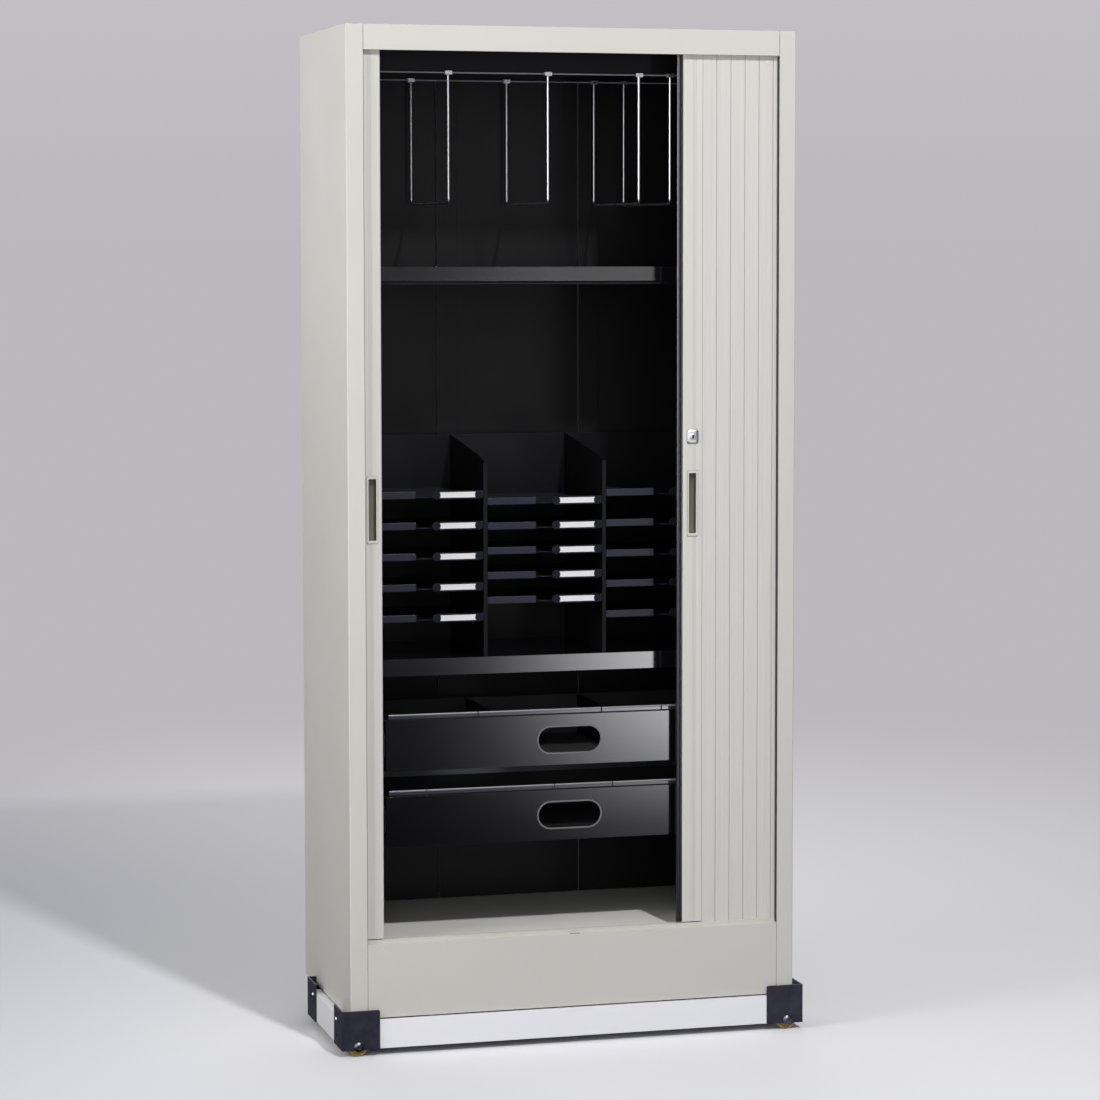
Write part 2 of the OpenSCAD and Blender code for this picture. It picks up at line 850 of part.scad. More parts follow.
// A drawer: folded front with an oval hand hole, and an open box behind it
module drawer(i) {
    z0 = base_z + drawer_z[i];
    z1 = z0 + drawer_h;
    box_z = z0 + box_lift;
    box_back_y = drawer_y + drawer_d;
    hem = 4;
    difference() {
        bar_along_x(-drawer_w / 2, drawer_w / 2)
            difference() {
                patch([drawer_y, z0], [drawer_y + drawer_fold, z1]);
                patch([drawer_y + drawer_t, z0 + drawer_t], [drawer_y + drawer_fold - drawer_t, z1 - drawer_t]);
                patch([drawer_y + drawer_t, z0 + hem], [drawer_y + drawer_fold + cut, z1 - hem]);
            }
        plate_behind(drawer_y - cut, 2 * cut + drawer_t)
            translate([0, z0 + drawer_h / 2])
                oval(hand_hole);
    }
    difference() {
        block(
            [-drawer_side_x, drawer_y + drawer_fold, box_z],
            [drawer_side_x, box_back_y, box_z + box_h]
        );
        block(
            [-drawer_side_x + drawer_t, drawer_y, box_z + drawer_t],
            [drawer_side_x - drawer_t, box_back_y - drawer_t, box_z + box_h + cut]
        );
    }
    block(
        [-drawer_side_x, drawer_y + drawer_t / 2, box_z],
        [drawer_side_x, drawer_y + drawer_fold + drawer_t, box_z + drawer_t]
    );
    for (s = [0, 1])
        mirror([s, 0, 0])
            block(
                [drawer_side_x - drawer_t, drawer_y + drawer_t / 2, box_z],
                [drawer_side_x, drawer_y + drawer_fold + drawer_t, box_z + box_h]
            );
}

module upper_drawer() {
    color([0.19, 0.19, 0.21])
        drawer(1);
}

module lower_drawer() {
    color([0.17, 0.17, 0.19])
        drawer(0);
}

// Upright sheets that part the upper drawer
module upper_drawer_partitions() {
    z0 = base_z + drawer_z[1] + box_lift + drawer_t;
    h = box_h - drawer_t - 4;
    y0 = drawer_y + drawer_fold + 2;
    y1 = drawer_y + drawer_d - drawer_t;
    bay = 2 * drawer_side_x / drawer_bays;
    cap_w = 8;
    color([0.62, 0.62, 0.64])
        for (i = [1 : drawer_bays - 1])
            translate([i * bay - drawer_side_x, 0, 0]) {
                block([-drawer_t / 2, y0, z0], [drawer_t / 2, y1, z0 + h + drawer_t / 2]);
                block([-cap_w / 2, y0, z0 + h], [cap_w / 2, y1, z0 + h + drawer_t]);
            }
}

// A frame of two bars for hanging files, on four posts in the lower drawer
module lower_file_frame() {
    z0 = base_z + drawer_z[0] + box_lift + drawer_t;
    h = box_h + 4;
    bar = [3, 12];
    inset = 22;
    y0 = drawer_y + drawer_fold + 14;
    y1 = drawer_y + drawer_d - inset;
    half = drawer_side_x - inset;
    color([0.60, 0.60, 0.62]) {
        for (y = [y0, y1])
            block([-half, y, z0 + h - bar[1]], [half, y + bar[0], z0 + h]);
        for (x = [-half, half - bar[0]], y = [y0, y1])
            block([x, y, z0], [x + bar[0], y + bar[0], z0 + h]);
        for (x = [-half, half - bar[0]])
            block([x, y0, z0 + h - bar[1]], [x + bar[0], y1 + bar[0], z0 + h]);
    }
}

// Trim round the hand hole of a drawer
module hole_trim(i) {
    color([0.80, 0.80, 0.80])
        plate_behind(drawer_y - trim_w / 2, trim_w / 2)
            translate([0, base_z + drawer_z[i] + drawer_h / 2])
                difference() {
                    oval([hand_hole[0] + 2 * trim_w, hand_hole[1] + 2 * trim_w]);
                    oval(hand_hole);
                }
}

// Hollow lead rail, drawn round its own middle with its leading edge toward -X
nose_r = 4;
fine_groove = [0.9, 0.6];

module lead_outline() {
    chamber = lead_w / 2 - 1.5 * lead_wall;
    difference() {
        union() {
            patch([nose_r - lead_w / 2, door_y], [lead_w / 2, door_y + lead_t]);
            patch([-lead_w / 2, door_y + nose_r], [lead_w / 2, door_y + lead_t - nose_r]);
            for (y = [door_y + nose_r, door_y + lead_t - nose_r])
                translate([nose_r - lead_w / 2, y])
                    circle(nose_r);
        }
        for (x = [lead_wall - lead_w / 2, lead_wall / 2])
            translate([x, door_y + lead_wall + 1])
                square([chamber, lead_t - 2 * lead_wall - 1]);
        for (i = [0 : 2])
            translate([lead_w / 2 - 20 + 3 * i, door_y - cut])
                square([fine_groove[0], cut + fine_groove[1]]);
    }
}

// Recess for the body of a pull, on the outer side of the rail's middle
cup_size = [pull_size[0] - 6, pull_size[1] - 8];
cup_d = lead_t - 4;

module pull_hole() {
    translate([0, door_y - cut, base_z + pull_z])
        rotate([-90, 0, 0])
            linear_extrude(cup_d + cut + fit_gap)
                square([cup_size[0] + 2 * fit_gap, cup_size[1] + 2 * fit_gap], center = true);
}

module lead_rail() {
    color([0.80, 0.80, 0.79])
        difference() {
            upright(rail_bottom_z, rail_top_z)
                lead_outline();
            pull_hole();
        }
}

// A recessed pull: a frame that lies on the rail and a cup behind it
module pull() {
    color([0.80, 0.80, 0.77])
        translate([0, door_y, base_z + pull_z])
            difference() {
                union() {
                    translate([0, -pull_lip / 2, 0])
                        cube([pull_size[0], pull_lip, pull_size[1]], center = true);
                    translate([0, cup_d / 2, 0])
                        cube([cup_size[0], cup_d, cup_size[1]], center = true);
                }
                translate([0, cup_d / 2 - 1.5 - pull_lip, 0])
                    cube(
                        [pull_size[0] - 2 * pull_frame, cup_d + 1, pull_size[1] - 2 * pull_frame - 4],
                        center = true
                    );
            }
}

// Plastic guides at the two ends of a lead rail, which run in the tracks
module guides() {
    guide_l = lead_w - 8;
    y0 = door_y + fit_gap;
    y1 = door_y + slat_t - fit_gap;
    color([0.12, 0.12, 0.12]) {
        block([-guide_l / 2, y0, floor_z + sheet_t + fit_gap], [guide_l / 2, y1, rail_bottom_z]);
        block([-guide_l / 2, y0, rail_top_z], [guide_l / 2, y1, ceiling_z - sheet_t - fit_gap]);
    }
}

// Rubber gasket on the leading edge of the right door, with a bead in front
module right_gasket() {
    x0 = right_door_x;
    x1 = right_door_x + gasket_w;
    bead_r = gasket_w / 2 - 1;
    mid_y = door_y + lead_t / 2;
    color([0.08, 0.08, 0.09])
        upright(rail_bottom_z, rail_top_z)
            difference() {
                union() {
                    translate([x0 + bead_r, mid_y])
                        circle(bead_r);
                    patch([x0 + bead_r, mid_y - 3], [x1, mid_y + 3]);
                    patch([x1 - 3, mid_y - lead_t / 2 + nose_r], [x1, mid_y + lead_t / 2 - nose_r]);
                }
                translate([x0 + bead_r, mid_y])
                    circle(bead_r - 1.8);
            }
}

// A slat curtain for the right side: front_run is its length between the rail and the corner
module curtain(front_run) {
    strip_w = slat_pitch / strips;
    side_run = curtain_l - front_run - arc_l;
    centre_r = turn_r + slat_t / 2;
    color([0.83, 0.83, 0.81])
        upright(curtain_bottom_z, curtain_top_z)
            difference() {
                union() {
                    patch([turn_x - front_run, door_y], [turn_x, door_y + slat_t]);
                    translate([turn_x, turn_y])
                        quarter_ring(turn_r, turn_r + slat_t);
                    patch([turn_x + turn_r, turn_y], [turn_x + turn_r + slat_t, turn_y + side_run]);
                }
                for (i = [1 : slat_count * strips - 1]) {
                    along = i * strip_w;
                    deep = i % strips == 0;
                    turned = min(max((along - front_run) / centre_r * 180 / PI, 0), 90);
                    before = min(along - front_run, 0);
                    after = max(along - front_run - arc_l, 0);
                    translate([turn_x, turn_y])
                        rotate(turned)
                            translate([before + after, -turn_r - slat_t])
                                square([deep ? 2 : 1, 2 * (deep ? slat_groove : strip_groove)], center = true);
                }
            }
}

module left_lead_rail() {
    translate([left_rail_x, 0, 0])
        on_the_left()
            lead_rail();
}

module left_pull() {
    translate([left_rail_x, 0, 0])
        pull();
}

module left_guides() {
    translate([left_rail_x, 0, 0])
        guides();
}

module left_curtain() {
    on_the_left()
        curtain(left_door_gap);
}

module right_lead_rail() {
    difference() {
        translate([right_rail_x, 0, 0])
            lead_rail();
        lock_hole();
    }
}

module right_pull() {
    translate([right_rail_x, 0, 0])
        pull();
}

module right_guides() {
    translate([right_rail_x, 0, 0])
        guides();
}

module right_curtain() {
    curtain(turn_x - right_rail_x - lead_w / 2);
}

// Lock: a plate with a sleeve through the rail, and the cylinder that turns in it
sleeve_d = lock_d + 5;
lock_depth = lead_t - 4;
plate_t = 2;

module at_lock() {
    translate([right_rail_x, door_y, base_z + lock_z])
        rotate([-90, 0, 0])
            children();
}

module lock_hole() {
    at_lock()
        translate([0, 0, -cut])
            cylinder(h = lock_depth + cut, d = sleeve_d + 2 * fit_gap);
}

module lock_housing() {
    plate_r = 4;
    color([0.85, 0.85, 0.85])
        at_lock()
            difference() {
                union() {
                    translate([0, 0, -plate_t])
                        linear_extrude(plate_t) {
                            square([lock_plate[0] - 2 * plate_r, lock_plate[1]], center = true);
                            square([lock_plate[0], lock_plate[1] - 2 * plate_r], center = true);
                            for (x = [-1, 1], y = [-1, 1])
                                translate([x * (lock_plate[0] / 2 - plate_r), y * (lock_plate[1] / 2 - plate_r)])
                                    circle(plate_r);
                        }
                    cylinder(h = lock_depth, d = sleeve_d);
                }
                translate([0, 0, -plate_t - cut])
                    cylinder(h = lock_depth - 2 + plate_t + cut, d = lock_d + 2 * turn_gap);
            }
}

module lock_cylinder() {
    key_w = 2;
    color([0.70, 0.70, 0.70])
        at_lock()
            difference() {
                translate([0, 0, -plate_t - 0.6])
                    cylinder(h = lock_depth - 2.5 + plate_t, d = lock_d);
                translate([-key_w / 2, -lock_d / 4, -plate_t - 0.6 - cut])
                    cube([key_w, lock_d / 2, 6]);
            }
}

// Places a child drawn at the outer corner of a bracket, with X and Y running inward
module at_corner(left, rear) {
    translate([0, carriage_mid_y, 0])
        mirror([left ? 1 : 0, 0, 0])
            mirror([0, rear ? 1 : 0, 0])
                translate([carriage_x, -carriage_len / 2, 0])
                    mirror([1, 0, 0])
                        children();
}

module at_corners() {
    for (left = [false, true], rear = [false, true])
        at_corner(left, rear)
            children();
}

// Corner bracket: end plate, side flange, and a cheek behind the wheel. At the rear the plate passes under
// the body, so only its strip beside the body keeps the full height.
module corner_bracket(rear) {
    bevel = 2;
    top = bracket_z + bracket_h;
    difference() {
        union() {
            plate_behind(0, bracket_t)
                polygon([
                    [0, bracket_z],
                    [bracket_w, bracket_z],
                    [bracket_w, top - bevel],
                    [bracket_w - bevel, top],
                    [0, top]
                ]);
            bar_along_x(0, bracket_t)
                polygon([
                    [0, bracket_z],
                    [bracket_d, bracket_z],
                    [bracket_d, top - bevel],
                    [bracket_d - bevel, top],
                    [0, top]
                ]);
            block([0, cheek_y, bracket_z], [wheel_x + wheel_r + 2, cheek_y + bracket_t, bracket_z + cheek_h]);
        }
        translate([wheel_x, -cut, wheel_r])
            rotate([-90, 0, 0])
                cylinder(h = cheek_y + bracket_t + 2 * cut, d = axle_d + 2 * turn_gap);
        flange_holes();
        if (rear)
            block(
                [carriage_side - cut, -cut, base_z - fit_gap],
                [bracket_w + cut, bracket_t + cut, top + cut]
            );
    }
}

// Two holes through the side flange and the wall of the beam behind it
module flange_holes() {
    for (z = flange_hole_z)
        translate([-cut, flange_hole_y, z])
            rotate([0, 90, 0])
                cylinder(h = bracket_t + beam_wall + 2 * cut, d = flange_hole_d);
}

module corner_brackets() {
    color([0.07, 0.07, 0.07])
        for (left = [false, true], rear = [false, true])
            at_corner(left, rear)
                corner_bracket(rear);
}

// Axle bolts with a rounded head in front and a nut behind the cheek
module axle_bolts() {
    socket_d = 8;
    flat_r = socket_d / 2 + 1;
    dome_r = head_size[0] * 0.75;
    dome_z = sqrt(dome_r ^ 2 - flat_r ^ 2);
    color([0.10, 0.10, 0.10])
        at_corners()
            translate([wheel_x, 0, wheel_r])
                rotate([-90, 0, 0]) {
                    difference() {
                        rotate_extrude()
                            intersection() {
                                translate([0, -head_size[1]])
                                    square([head_size[0] / 2, head_size[1]]);
                                translate([0, dome_z - head_size[1]])
                                    circle(dome_r);
                            }
                        translate([0, 0, -head_size[1] - cut])
                            cylinder(h = 3.5 + cut, d = socket_d, $fn = 6);
                    }
                    cylinder(h = cheek_y + bracket_t + nut_size[1] + 1, d = axle_d);
                    translate([0, 0, cheek_y + bracket_t])
                        cylinder(h = nut_size[1], d = nut_size[0], $fn = 6);
                }
}

// Box beams between the brackets, with bolt holes in the side ones
module box_beam(size) {
    difference() {
        cube(size);
        children();
    }
}

module carriage_beams() {
    front_l = 2 * (carriage_x - front_beam_end);
    side_l = carriage_len - 2 * side_beam_start;
    color([0.86, 0.86, 0.84]) {
        for (rear = [false, true])
            at_corner(false, rear)
                translate([front_beam_end, bracket_t, beam_z])
                    box_beam([front_l, beam_d, beam_h])
                        translate([-cut, beam_wall, beam_wall])
                            cube([front_l + 2 * cut, beam_d - 2 * beam_wall, beam_h - 2 * beam_wall]);
        for (left = [false, true])
            at_corner(left, false)
                difference() {
                    translate([bracket_t, side_beam_start, beam_z])
                        box_beam([beam_d, side_l, beam_h])
                            translate([beam_wall, -cut, beam_wall])
                                cube([beam_d - 2 * beam_wall, side_l + 2 * cut, beam_h - 2 * beam_wall]);
                    flange_holes();
                    translate([0, carriage_len - 2 * flange_hole_y, 0])
                        flange_holes();
                }
    }
}

// Rubber strips between the beams and the underside of the cabinet
module rest_strips() {
    color([0.05, 0.05, 0.05])
        for (rear = [false, true]) {
            at_corner(false, rear)
                block(
                    [front_beam_end, bracket_t + 8, beam_z + beam_h],
                    [2 * carriage_x - front_beam_end, bracket_t + 8 + strip_w, base_z]
                );
            at_corner(rear, false)
                block(
                    [carriage_side + 1, side_beam_start, beam_z + beam_h],
                    [carriage_side + strip_w, carriage_len - side_beam_start, base_z]
                );
        }
}

// Wheel with a crowned tread, a recessed web and a hub
module wheel() {
    hub_r = axle_d / 2 + 4;
    rim = 4;
    web = wheel_w / 2 - 4;
    color([0.72, 0.62, 0.40])
        translate([wheel_x, wheel_y, wheel_r])
            rotate([-90, 0, 0])
                rotate_extrude($fn = 96)
                    polygon([
                        [axle_d / 2 + turn_gap, 0],
                        [hub_r, 0],
                        [hub_r, web],
                        [wheel_r - rim, web],
                        [wheel_r - rim, 1],
                        [wheel_r - 1, 1],
                        [wheel_r, 2],
                        [wheel_r, wheel_w - 2],
                        [wheel_r - 1, wheel_w - 1],
                        [wheel_r - rim, wheel_w - 1],
                        [wheel_r - rim, wheel_w - web],
                        [hub_r, wheel_w - web],
                        [hub_r, wheel_w],
                        [axle_d / 2 + turn_gap, wheel_w]
                    ]);
}

on_the_left() side_panel();  // left_side
side_panel();  // right_side
back_panel();
top_panel();
ceiling();
header();
kick_panel();
base_panel();
floor_pan();
plinth_channels();
on_the_left() liner();  // left_liner
liner();  // right_liner
shelf_standards();
bottom_track();
top_track();
strike_insert();
upper_shelf();
lower_shelf();
shelf_brackets();
file_rails();
divider_rails();
divider(divider_x[0]);  // divider_1
divider(divider_x[1]);  // divider_2
divider(divider_x[2]);  // divider_3
divider(divider_x[3]);  // divider_4
sorter_uprights();
sorter_back();
tray_column(0);  // trays_left
tray_column(1);  // trays_middle
tray_column(2);  // trays_right
label_holders();
runner_mounts();
runner_channels();
upper_drawer();
upper_drawer_partitions();
runner_sliders(1);  // upper_drawer_sliders
hole_trim(1);  // upper_hole_trim
lower_drawer();
lower_file_frame();
runner_sliders(0);  // lower_drawer_sliders
hole_trim(0);  // lower_hole_trim
left_lead_rail();
left_pull();
left_guides();
left_curtain();
right_lead_rail();
right_gasket();
right_pull();
right_guides();
right_curtain();
lock_housing();
lock_cylinder();
carriage_beams();
rest_strips();
corner_brackets();
axle_bolts();
at_corner(true, false) wheel();  // wheel_front_left
at_corner(false, false) wheel();  // wheel_front_right
at_corner(true, true) wheel();  // wheel_rear_left
at_corner(false, true) wheel();  // wheel_rear_right
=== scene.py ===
import bpy
import json
import math
import numpy as np
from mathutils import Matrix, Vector


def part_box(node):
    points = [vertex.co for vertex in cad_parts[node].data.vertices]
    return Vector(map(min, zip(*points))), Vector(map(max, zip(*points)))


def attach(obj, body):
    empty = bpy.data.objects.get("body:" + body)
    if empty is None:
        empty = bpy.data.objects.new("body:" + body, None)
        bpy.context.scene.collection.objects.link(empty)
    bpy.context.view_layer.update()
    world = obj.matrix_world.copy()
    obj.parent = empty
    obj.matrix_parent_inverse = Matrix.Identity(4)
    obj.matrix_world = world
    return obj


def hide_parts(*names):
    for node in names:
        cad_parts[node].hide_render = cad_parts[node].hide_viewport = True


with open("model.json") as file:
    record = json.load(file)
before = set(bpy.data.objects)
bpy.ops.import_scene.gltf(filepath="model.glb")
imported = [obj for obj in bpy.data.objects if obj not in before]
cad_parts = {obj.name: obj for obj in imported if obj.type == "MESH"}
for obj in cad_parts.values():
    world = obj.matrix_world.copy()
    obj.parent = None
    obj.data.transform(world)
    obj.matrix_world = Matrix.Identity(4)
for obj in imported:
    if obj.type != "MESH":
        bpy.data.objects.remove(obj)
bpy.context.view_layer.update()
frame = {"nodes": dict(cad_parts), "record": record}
nodes = frame["nodes"]
print("tambour cabinet:", len(nodes), "nodes from the frame")

noiseEnds = (0.3, 0.7)      # nearly all of a noise lies between these


def linear(red, green, blue):
    # Screen values from 0 to 255 become light values by the usual screen curve
    c = np.array([red, green, blue]) / 255
    lit = np.where(c <= 0.04045, c / 12.92, ((c + 0.055) / 1.055) ** 2.4)
    return (*lit.tolist(), 1.0)


def shifted(color, step):
    # Every channel moved by the step, and kept between 0 and 255
    return tuple(max(0, min(255, value + step)) for value in color)


def addNode(tree, kind, **settings):
    # The inputs' names are written with _ for a space
    node = tree.nodes.new(kind)
    for name, value in settings.items():
        node.inputs[name.replace("_", " ")].default_value = value
    return node


def axisOf(tree, vector, axis):
    # One of a vector's three numbers
    split = tree.nodes.new("ShaderNodeSeparateXYZ")
    tree.links.new(vector, split.inputs[0])
    return split.outputs[axis]


def mapRange(tree, value, ends, results=(0.0, 1.0)):
    # The value's place between two ends becomes the same place between two results, and stays within them
    node = addNode(tree, "ShaderNodeMapRange",
                   From_Min=ends[0], From_Max=ends[1], To_Min=results[0], To_Max=results[1])
    tree.links.new(value, node.inputs["Value"])
    return node.outputs["Result"]


def mixValues(tree, kind, factor, first, second):
    # The first where the factor is 0, the second where it is 1; each is a socket or a plain value
    mix = tree.nodes.new("ShaderNodeMix")
    mix.data_type = kind
    tree.links.new(factor, mix.inputs["Factor"])
    for name, value in (("A", first), ("B", second)):
        if isinstance(value, bpy.types.NodeSocket):
            tree.links.new(value, mix.inputs[name])
        else:
            mix.inputs[name].default_value = value
    return mix.outputs["Result"]


def mixShaders(tree, factor, first, second):
    # The first where the factor is 0, the second where it is 1
    mix = tree.nodes.new("ShaderNodeMixShader")
    for place, source in enumerate((factor, first, second)):
        tree.links.new(source, mix.inputs[place])
    return mix.outputs[0]


def rampOf(tree, factor, stops):
    # Colours at places along the factor from 0 to 1, with straight blends between them
    ramp = tree.nodes.new("ShaderNodeValToRGB")
    points = ramp.color_ramp.elements
    while len(points) < len(stops):
        points.new(0.5)
    for point, (position, color) in zip(points, stops):
        point.position = position
        point.color = color
    tree.links.new(factor, ramp.inputs["Fac"])
    return ramp.outputs["Color"]


def greyRamp(tree, factor, stops):
    # The same with greys, which may be brighter than white
    return rampOf(tree, factor, [(place, (grey, grey, grey, 1)) for place, grey in stops])


def startFinish(name, look):
    # A material with its plain values set, and the Object coordinates that its noises read
    material = bpy.data.materials.new(name)
    material.use_nodes = True
    tree = material.node_tree
    shader = tree.nodes["Principled BSDF"]
    shader.inputs["Base Color"].default_value = linear(*look["color"])
    shader.inputs["Roughness"].default_value = look["roughness"]
    shader.inputs["Metallic"].default_value = look.get("metallic", 0.0)
    shader.inputs["Specular IOR Level"].default_value = look.get("gloss", 0.5)
    place = tree.nodes.new("ShaderNodeTexCoord").outputs["Object"]
    return material, tree, shader, place


def noiseOn(tree, place, size, stretch=(1, 1, 1), detail=2.0):
    # Noise whose grains are about size metres across, drawn out along an axis by a small stretch
    mapping = addNode(tree, "ShaderNodeMapping", Scale=stretch)
    tree.links.new(place, mapping.inputs["Vector"])
    noise = addNode(tree, "ShaderNodeTexNoise", Scale=1 / size, Detail=detail)
    tree.links.new(mapping.outputs["Vector"], noise.inputs["Vector"])
    return noise.outputs["Fac"]


def tintAround(tree, shader, factor, look):
    # From a darker to a lighter shade of the colour, each as many screen values away as the mottle says
    shades = [linear(*shifted(look["color"], step)) for step in (-look["mottle"], look["mottle"])]
    tree.links.new(rampOf(tree, factor, list(zip(noiseEnds, shades))), shader.inputs["Base Color"])


def roughAround(tree, shader, factor, look):
    # From a smoother to a rougher value than the finish's own
    smoother, rougher = look["roughSpread"]
    results = (look["roughness"] - smoother, look["roughness"] + rougher)
    tree.links.new(mapRange(tree, factor, noiseEnds, results), shader.inputs["Roughness"])


def raiseSurface(tree, shader, height, depth, edge=0.0):
    # The depth in metres times the noise, on top of edges that are rounded by the radius given as edge
    bump = addNode(tree, "ShaderNodeBump", Strength=1.0, Distance=depth)
    tree.links.new(height, bump.inputs["Height"])
    if edge:
        soften = addNode(tree, "ShaderNodeBevel", Radius=edge)
        soften.samples = 4
        tree.links.new(soften.outputs["Normal"], bump.inputs["Normal"])
    tree.links.new(bump.outputs["Normal"], shader.inputs["Normal"])


paintBase = {"cloud": 0.35, "cloudDetail": 3, "peel": 0.0016, "peelDepth": 0.00006, "edge": 0.0009,
             "patch": 0.15, "roughSpread": (0.03, 0.03)}
plasticBase = {"streak": 0.004, "along": (1, 1, 0.01), "streakDetail": 3, "grain": 0.0012,
               "grainDepth": 0.00003, "edge": 0.0006, "roughSpread": (0.05, 0.05)}
metalBase = {"metallic": 1.0, "hair": 0.0012, "along": (0.01, 1, 1), "hairDetail": 4, "hairDepth": 0.00002,
             "edge": 0.0005, "roughSpread": (0.06, 0.08)}


def paintedSheet(name, look):
    # Powder coat: fine orange peel, a faint cloudiness, and edges that catch the light
    look = {**paintBase, **look}
    material, tree, shader, place = startFinish(name, look)
    tintAround(tree, shader, noiseOn(tree, place, look["cloud"], detail=look["cloudDetail"]), look)
    raiseSurface(tree, shader, noiseOn(tree, place, look["peel"]), look["peelDepth"], look["edge"])
    roughAround(tree, shader, noiseOn(tree, place, look["patch"]), look)
    return material


def drawnPlastic(name, look):
    # Extruded plastic: long streaks along the draw, and a soft satin surface
    look = {**plasticBase, **look}
    material, tree, shader, place = startFinish(name, look)
    streak = noiseOn(tree, place, look["streak"], look["along"], look["streakDetail"])
    tintAround(tree, shader, streak, look)
    raiseSurface(tree, shader, noiseOn(tree, place, look["grain"]), look["grainDepth"], look["edge"])
    roughAround(tree, shader, streak, look)
    return material


def drawnMetal(name, look):
    # Rolled or drawn metal: hairlines along one axis in both tint and gloss
    look = {**metalBase, **look}
    material, tree, shader, place = startFinish(name, look)
    hair = noiseOn(tree, place, look["hair"], look["along"], look["hairDetail"])
    tintAround(tree, shader, hair, look)
    raiseSurface(tree, shader, hair, look["hairDepth"], look["edge"])
    roughAround(tree, shader, hair, look)
    return material


def softRubber(name, look):
    # Moulded rubber: a pale bloom drawn out in height, over a very fine grain
    material, tree, shader, place = startFinish(name, look)
    bloom = noiseOn(tree, place, look["bloom"], look["along"], look["bloomDetail"])
    tintAround(tree, shader, bloom, look)
    raiseSurface(tree, shader, noiseOn(tree, place, look["grain"]), look["grainDepth"], look["edge"])
    roughAround(tree, shader, bloom, look)
    return material


def paperCard(name, look):
    # Card: short fibres along its length, in tint and in height
    material, tree, shader, place = startFinish(name, look)
    fibre = noiseOn(tree, place, look["fibre"], look["along"], look["fibreDetail"])
    tintAround(tree, shader, fibre, look)
    raiseSurface(tree, shader, fibre, look["fibreDepth"])
    return material


darkCoat = {"peelDepth": 0.00001, "roughSpread": (0.008, 0.008)}
paints = {
    "bodyPaint": {"color": (209, 208, 201), "roughness": 0.44, "mottle": 1.5, "gloss": 0.25},
    "floorPaint": {"color": (245, 244, 238), "roughness": 0.45, "mottle": 2, "gloss": 0.25},
    "trackCoat": {"color": (206, 205, 198), "roughness": 0.42, "mottle": 2, "edge": 0.0005, "gloss": 0.25},
    "innerPaint": {"color": (13, 13, 16), "roughness": 0.42, "mottle": 1, "gloss": 0.2, **darkCoat},
    "ceilingPaint": {"color": (16, 16, 19), "roughness": 0.8, "mottle": 1, "gloss": 0.0},
    "shelfPaint": {"color": (14, 14, 18), "roughness": 0.11, "mottle": 1, "gloss": 1.0, **darkCoat},
    "drawerPaint": {"color": (14, 14, 18), "roughness": 0.11, "mottle": 1, "gloss": 1.0, **darkCoat},
    "sorterPaint": {"color": (36, 36, 50), "roughness": 0.3, "mottle": 1.5, "gloss": 0.25, "edge": 0.0006,
                    **darkCoat},
    "bracketPaint": {"color": (47, 47, 59), "roughness": 0.45, "mottle": 8, "cloud": 0.022, "gloss": 0.3,
                     "peelDepth": 0.00008},
    "rimPaint": {"color": (58, 58, 64), "roughness": 0.12, "mottle": 2, "gloss": 1.0, **darkCoat},
    # a pale grey that paints the highlight along the drawer rims' rolled top
    "rimHighlight": {"color": (146, 146, 152), "roughness": 0.3, "mottle": 2, "gloss": 0.5, "peelDepth": 0.00001},
    "beamCoat": {"color": (248, 248, 252), "roughness": 0.4, "mottle": 1, "gloss": 0.3},
}
plastics = {
    "slats": {"color": (213, 211, 205), "roughness": 0.44, "mottle": 2.5, "edge": 0.0, "gloss": 0.25},
    "railCoat": {"color": (214, 213, 206), "roughness": 0.4, "mottle": 1.5, "gloss": 0.25},
    "blackPlastic": {"color": (22, 22, 24), "roughness": 0.45, "mottle": 2},
    "holderPlastic": {"color": (24, 24, 34), "roughness": 0.6, "mottle": 2, "gloss": 0.15},
    "pullPlastic": {"color": (210, 210, 203), "roughness": 0.36, "mottle": 1.5},
    # the cup's colour is darkened to paint the shade inside the recess
    "pullCupShade": {"color": (100, 100, 88), "roughness": 0.5, "mottle": 3},
    # a grey that paints the shade along the pull frame's outer edge
    "pullEdgeShade": {"color": (128, 128, 120), "roughness": 0.5, "mottle": 2},
    "trimPlastic": {"color": (112, 112, 114), "roughness": 0.4, "mottle": 2},
    "wheelNylon": {"color": (186, 158, 104), "roughness": 0.42, "mottle": 5, "along": (1, 1, 1),
                   "streak": 0.01},
}
metals = {
    "dividerWire": {"color": (222, 222, 226), "roughness": 0.3, "mottle": 6, "along": (1, 1, 0.05)},
    "runnerZinc": {"color": (132, 133, 138), "roughness": 0.42, "mottle": 8, "along": (1, 0.02, 1)},
    "chrome": {"color": (206, 206, 210), "roughness": 0.1, "mottle": 2, "hairDepth": 0.000004},
    "lockChrome": {"color": (232, 232, 234), "roughness": 0.34, "mottle": 2, "hairDepth": 0.000004},
    "boltBlack": {"color": (112, 110, 118), "roughness": 0.36, "mottle": 6, "along": (1, 1, 1)},
    "screwZinc": {"color": (206, 206, 210), "roughness": 0.25, "mottle": 5, "along": (1, 1, 1)},
}
rubbers = {
    "gasketRubber": {"color": (20, 20, 24), "roughness": 0.26, "mottle": 3, "gloss": 1.0,
                     "bloom": 0.03, "along": (1, 1, 0.2), "bloomDetail": 4, "grain": 0.0009,
                     "grainDepth": 0.00004, "edge": 0.0005, "roughSpread": (0.04, 0.04)},
}
cards = {
    "labelCard": {"color": (232, 232, 234), "roughness": 0.7, "mottle": 2,
                  "fibre": 0.0015, "along": (0.3, 1, 1), "fibreDetail": 5, "fibreDepth": 0.00002},
}
kinds = ((paintedSheet, paints), (drawnPlastic, plastics), (drawnMetal, metals), (softRubber, rubbers),
         (paperCard, cards))
finishes = {name: makeFinish(name, look) for makeFinish, looks in kinds for name, look in looks.items()}

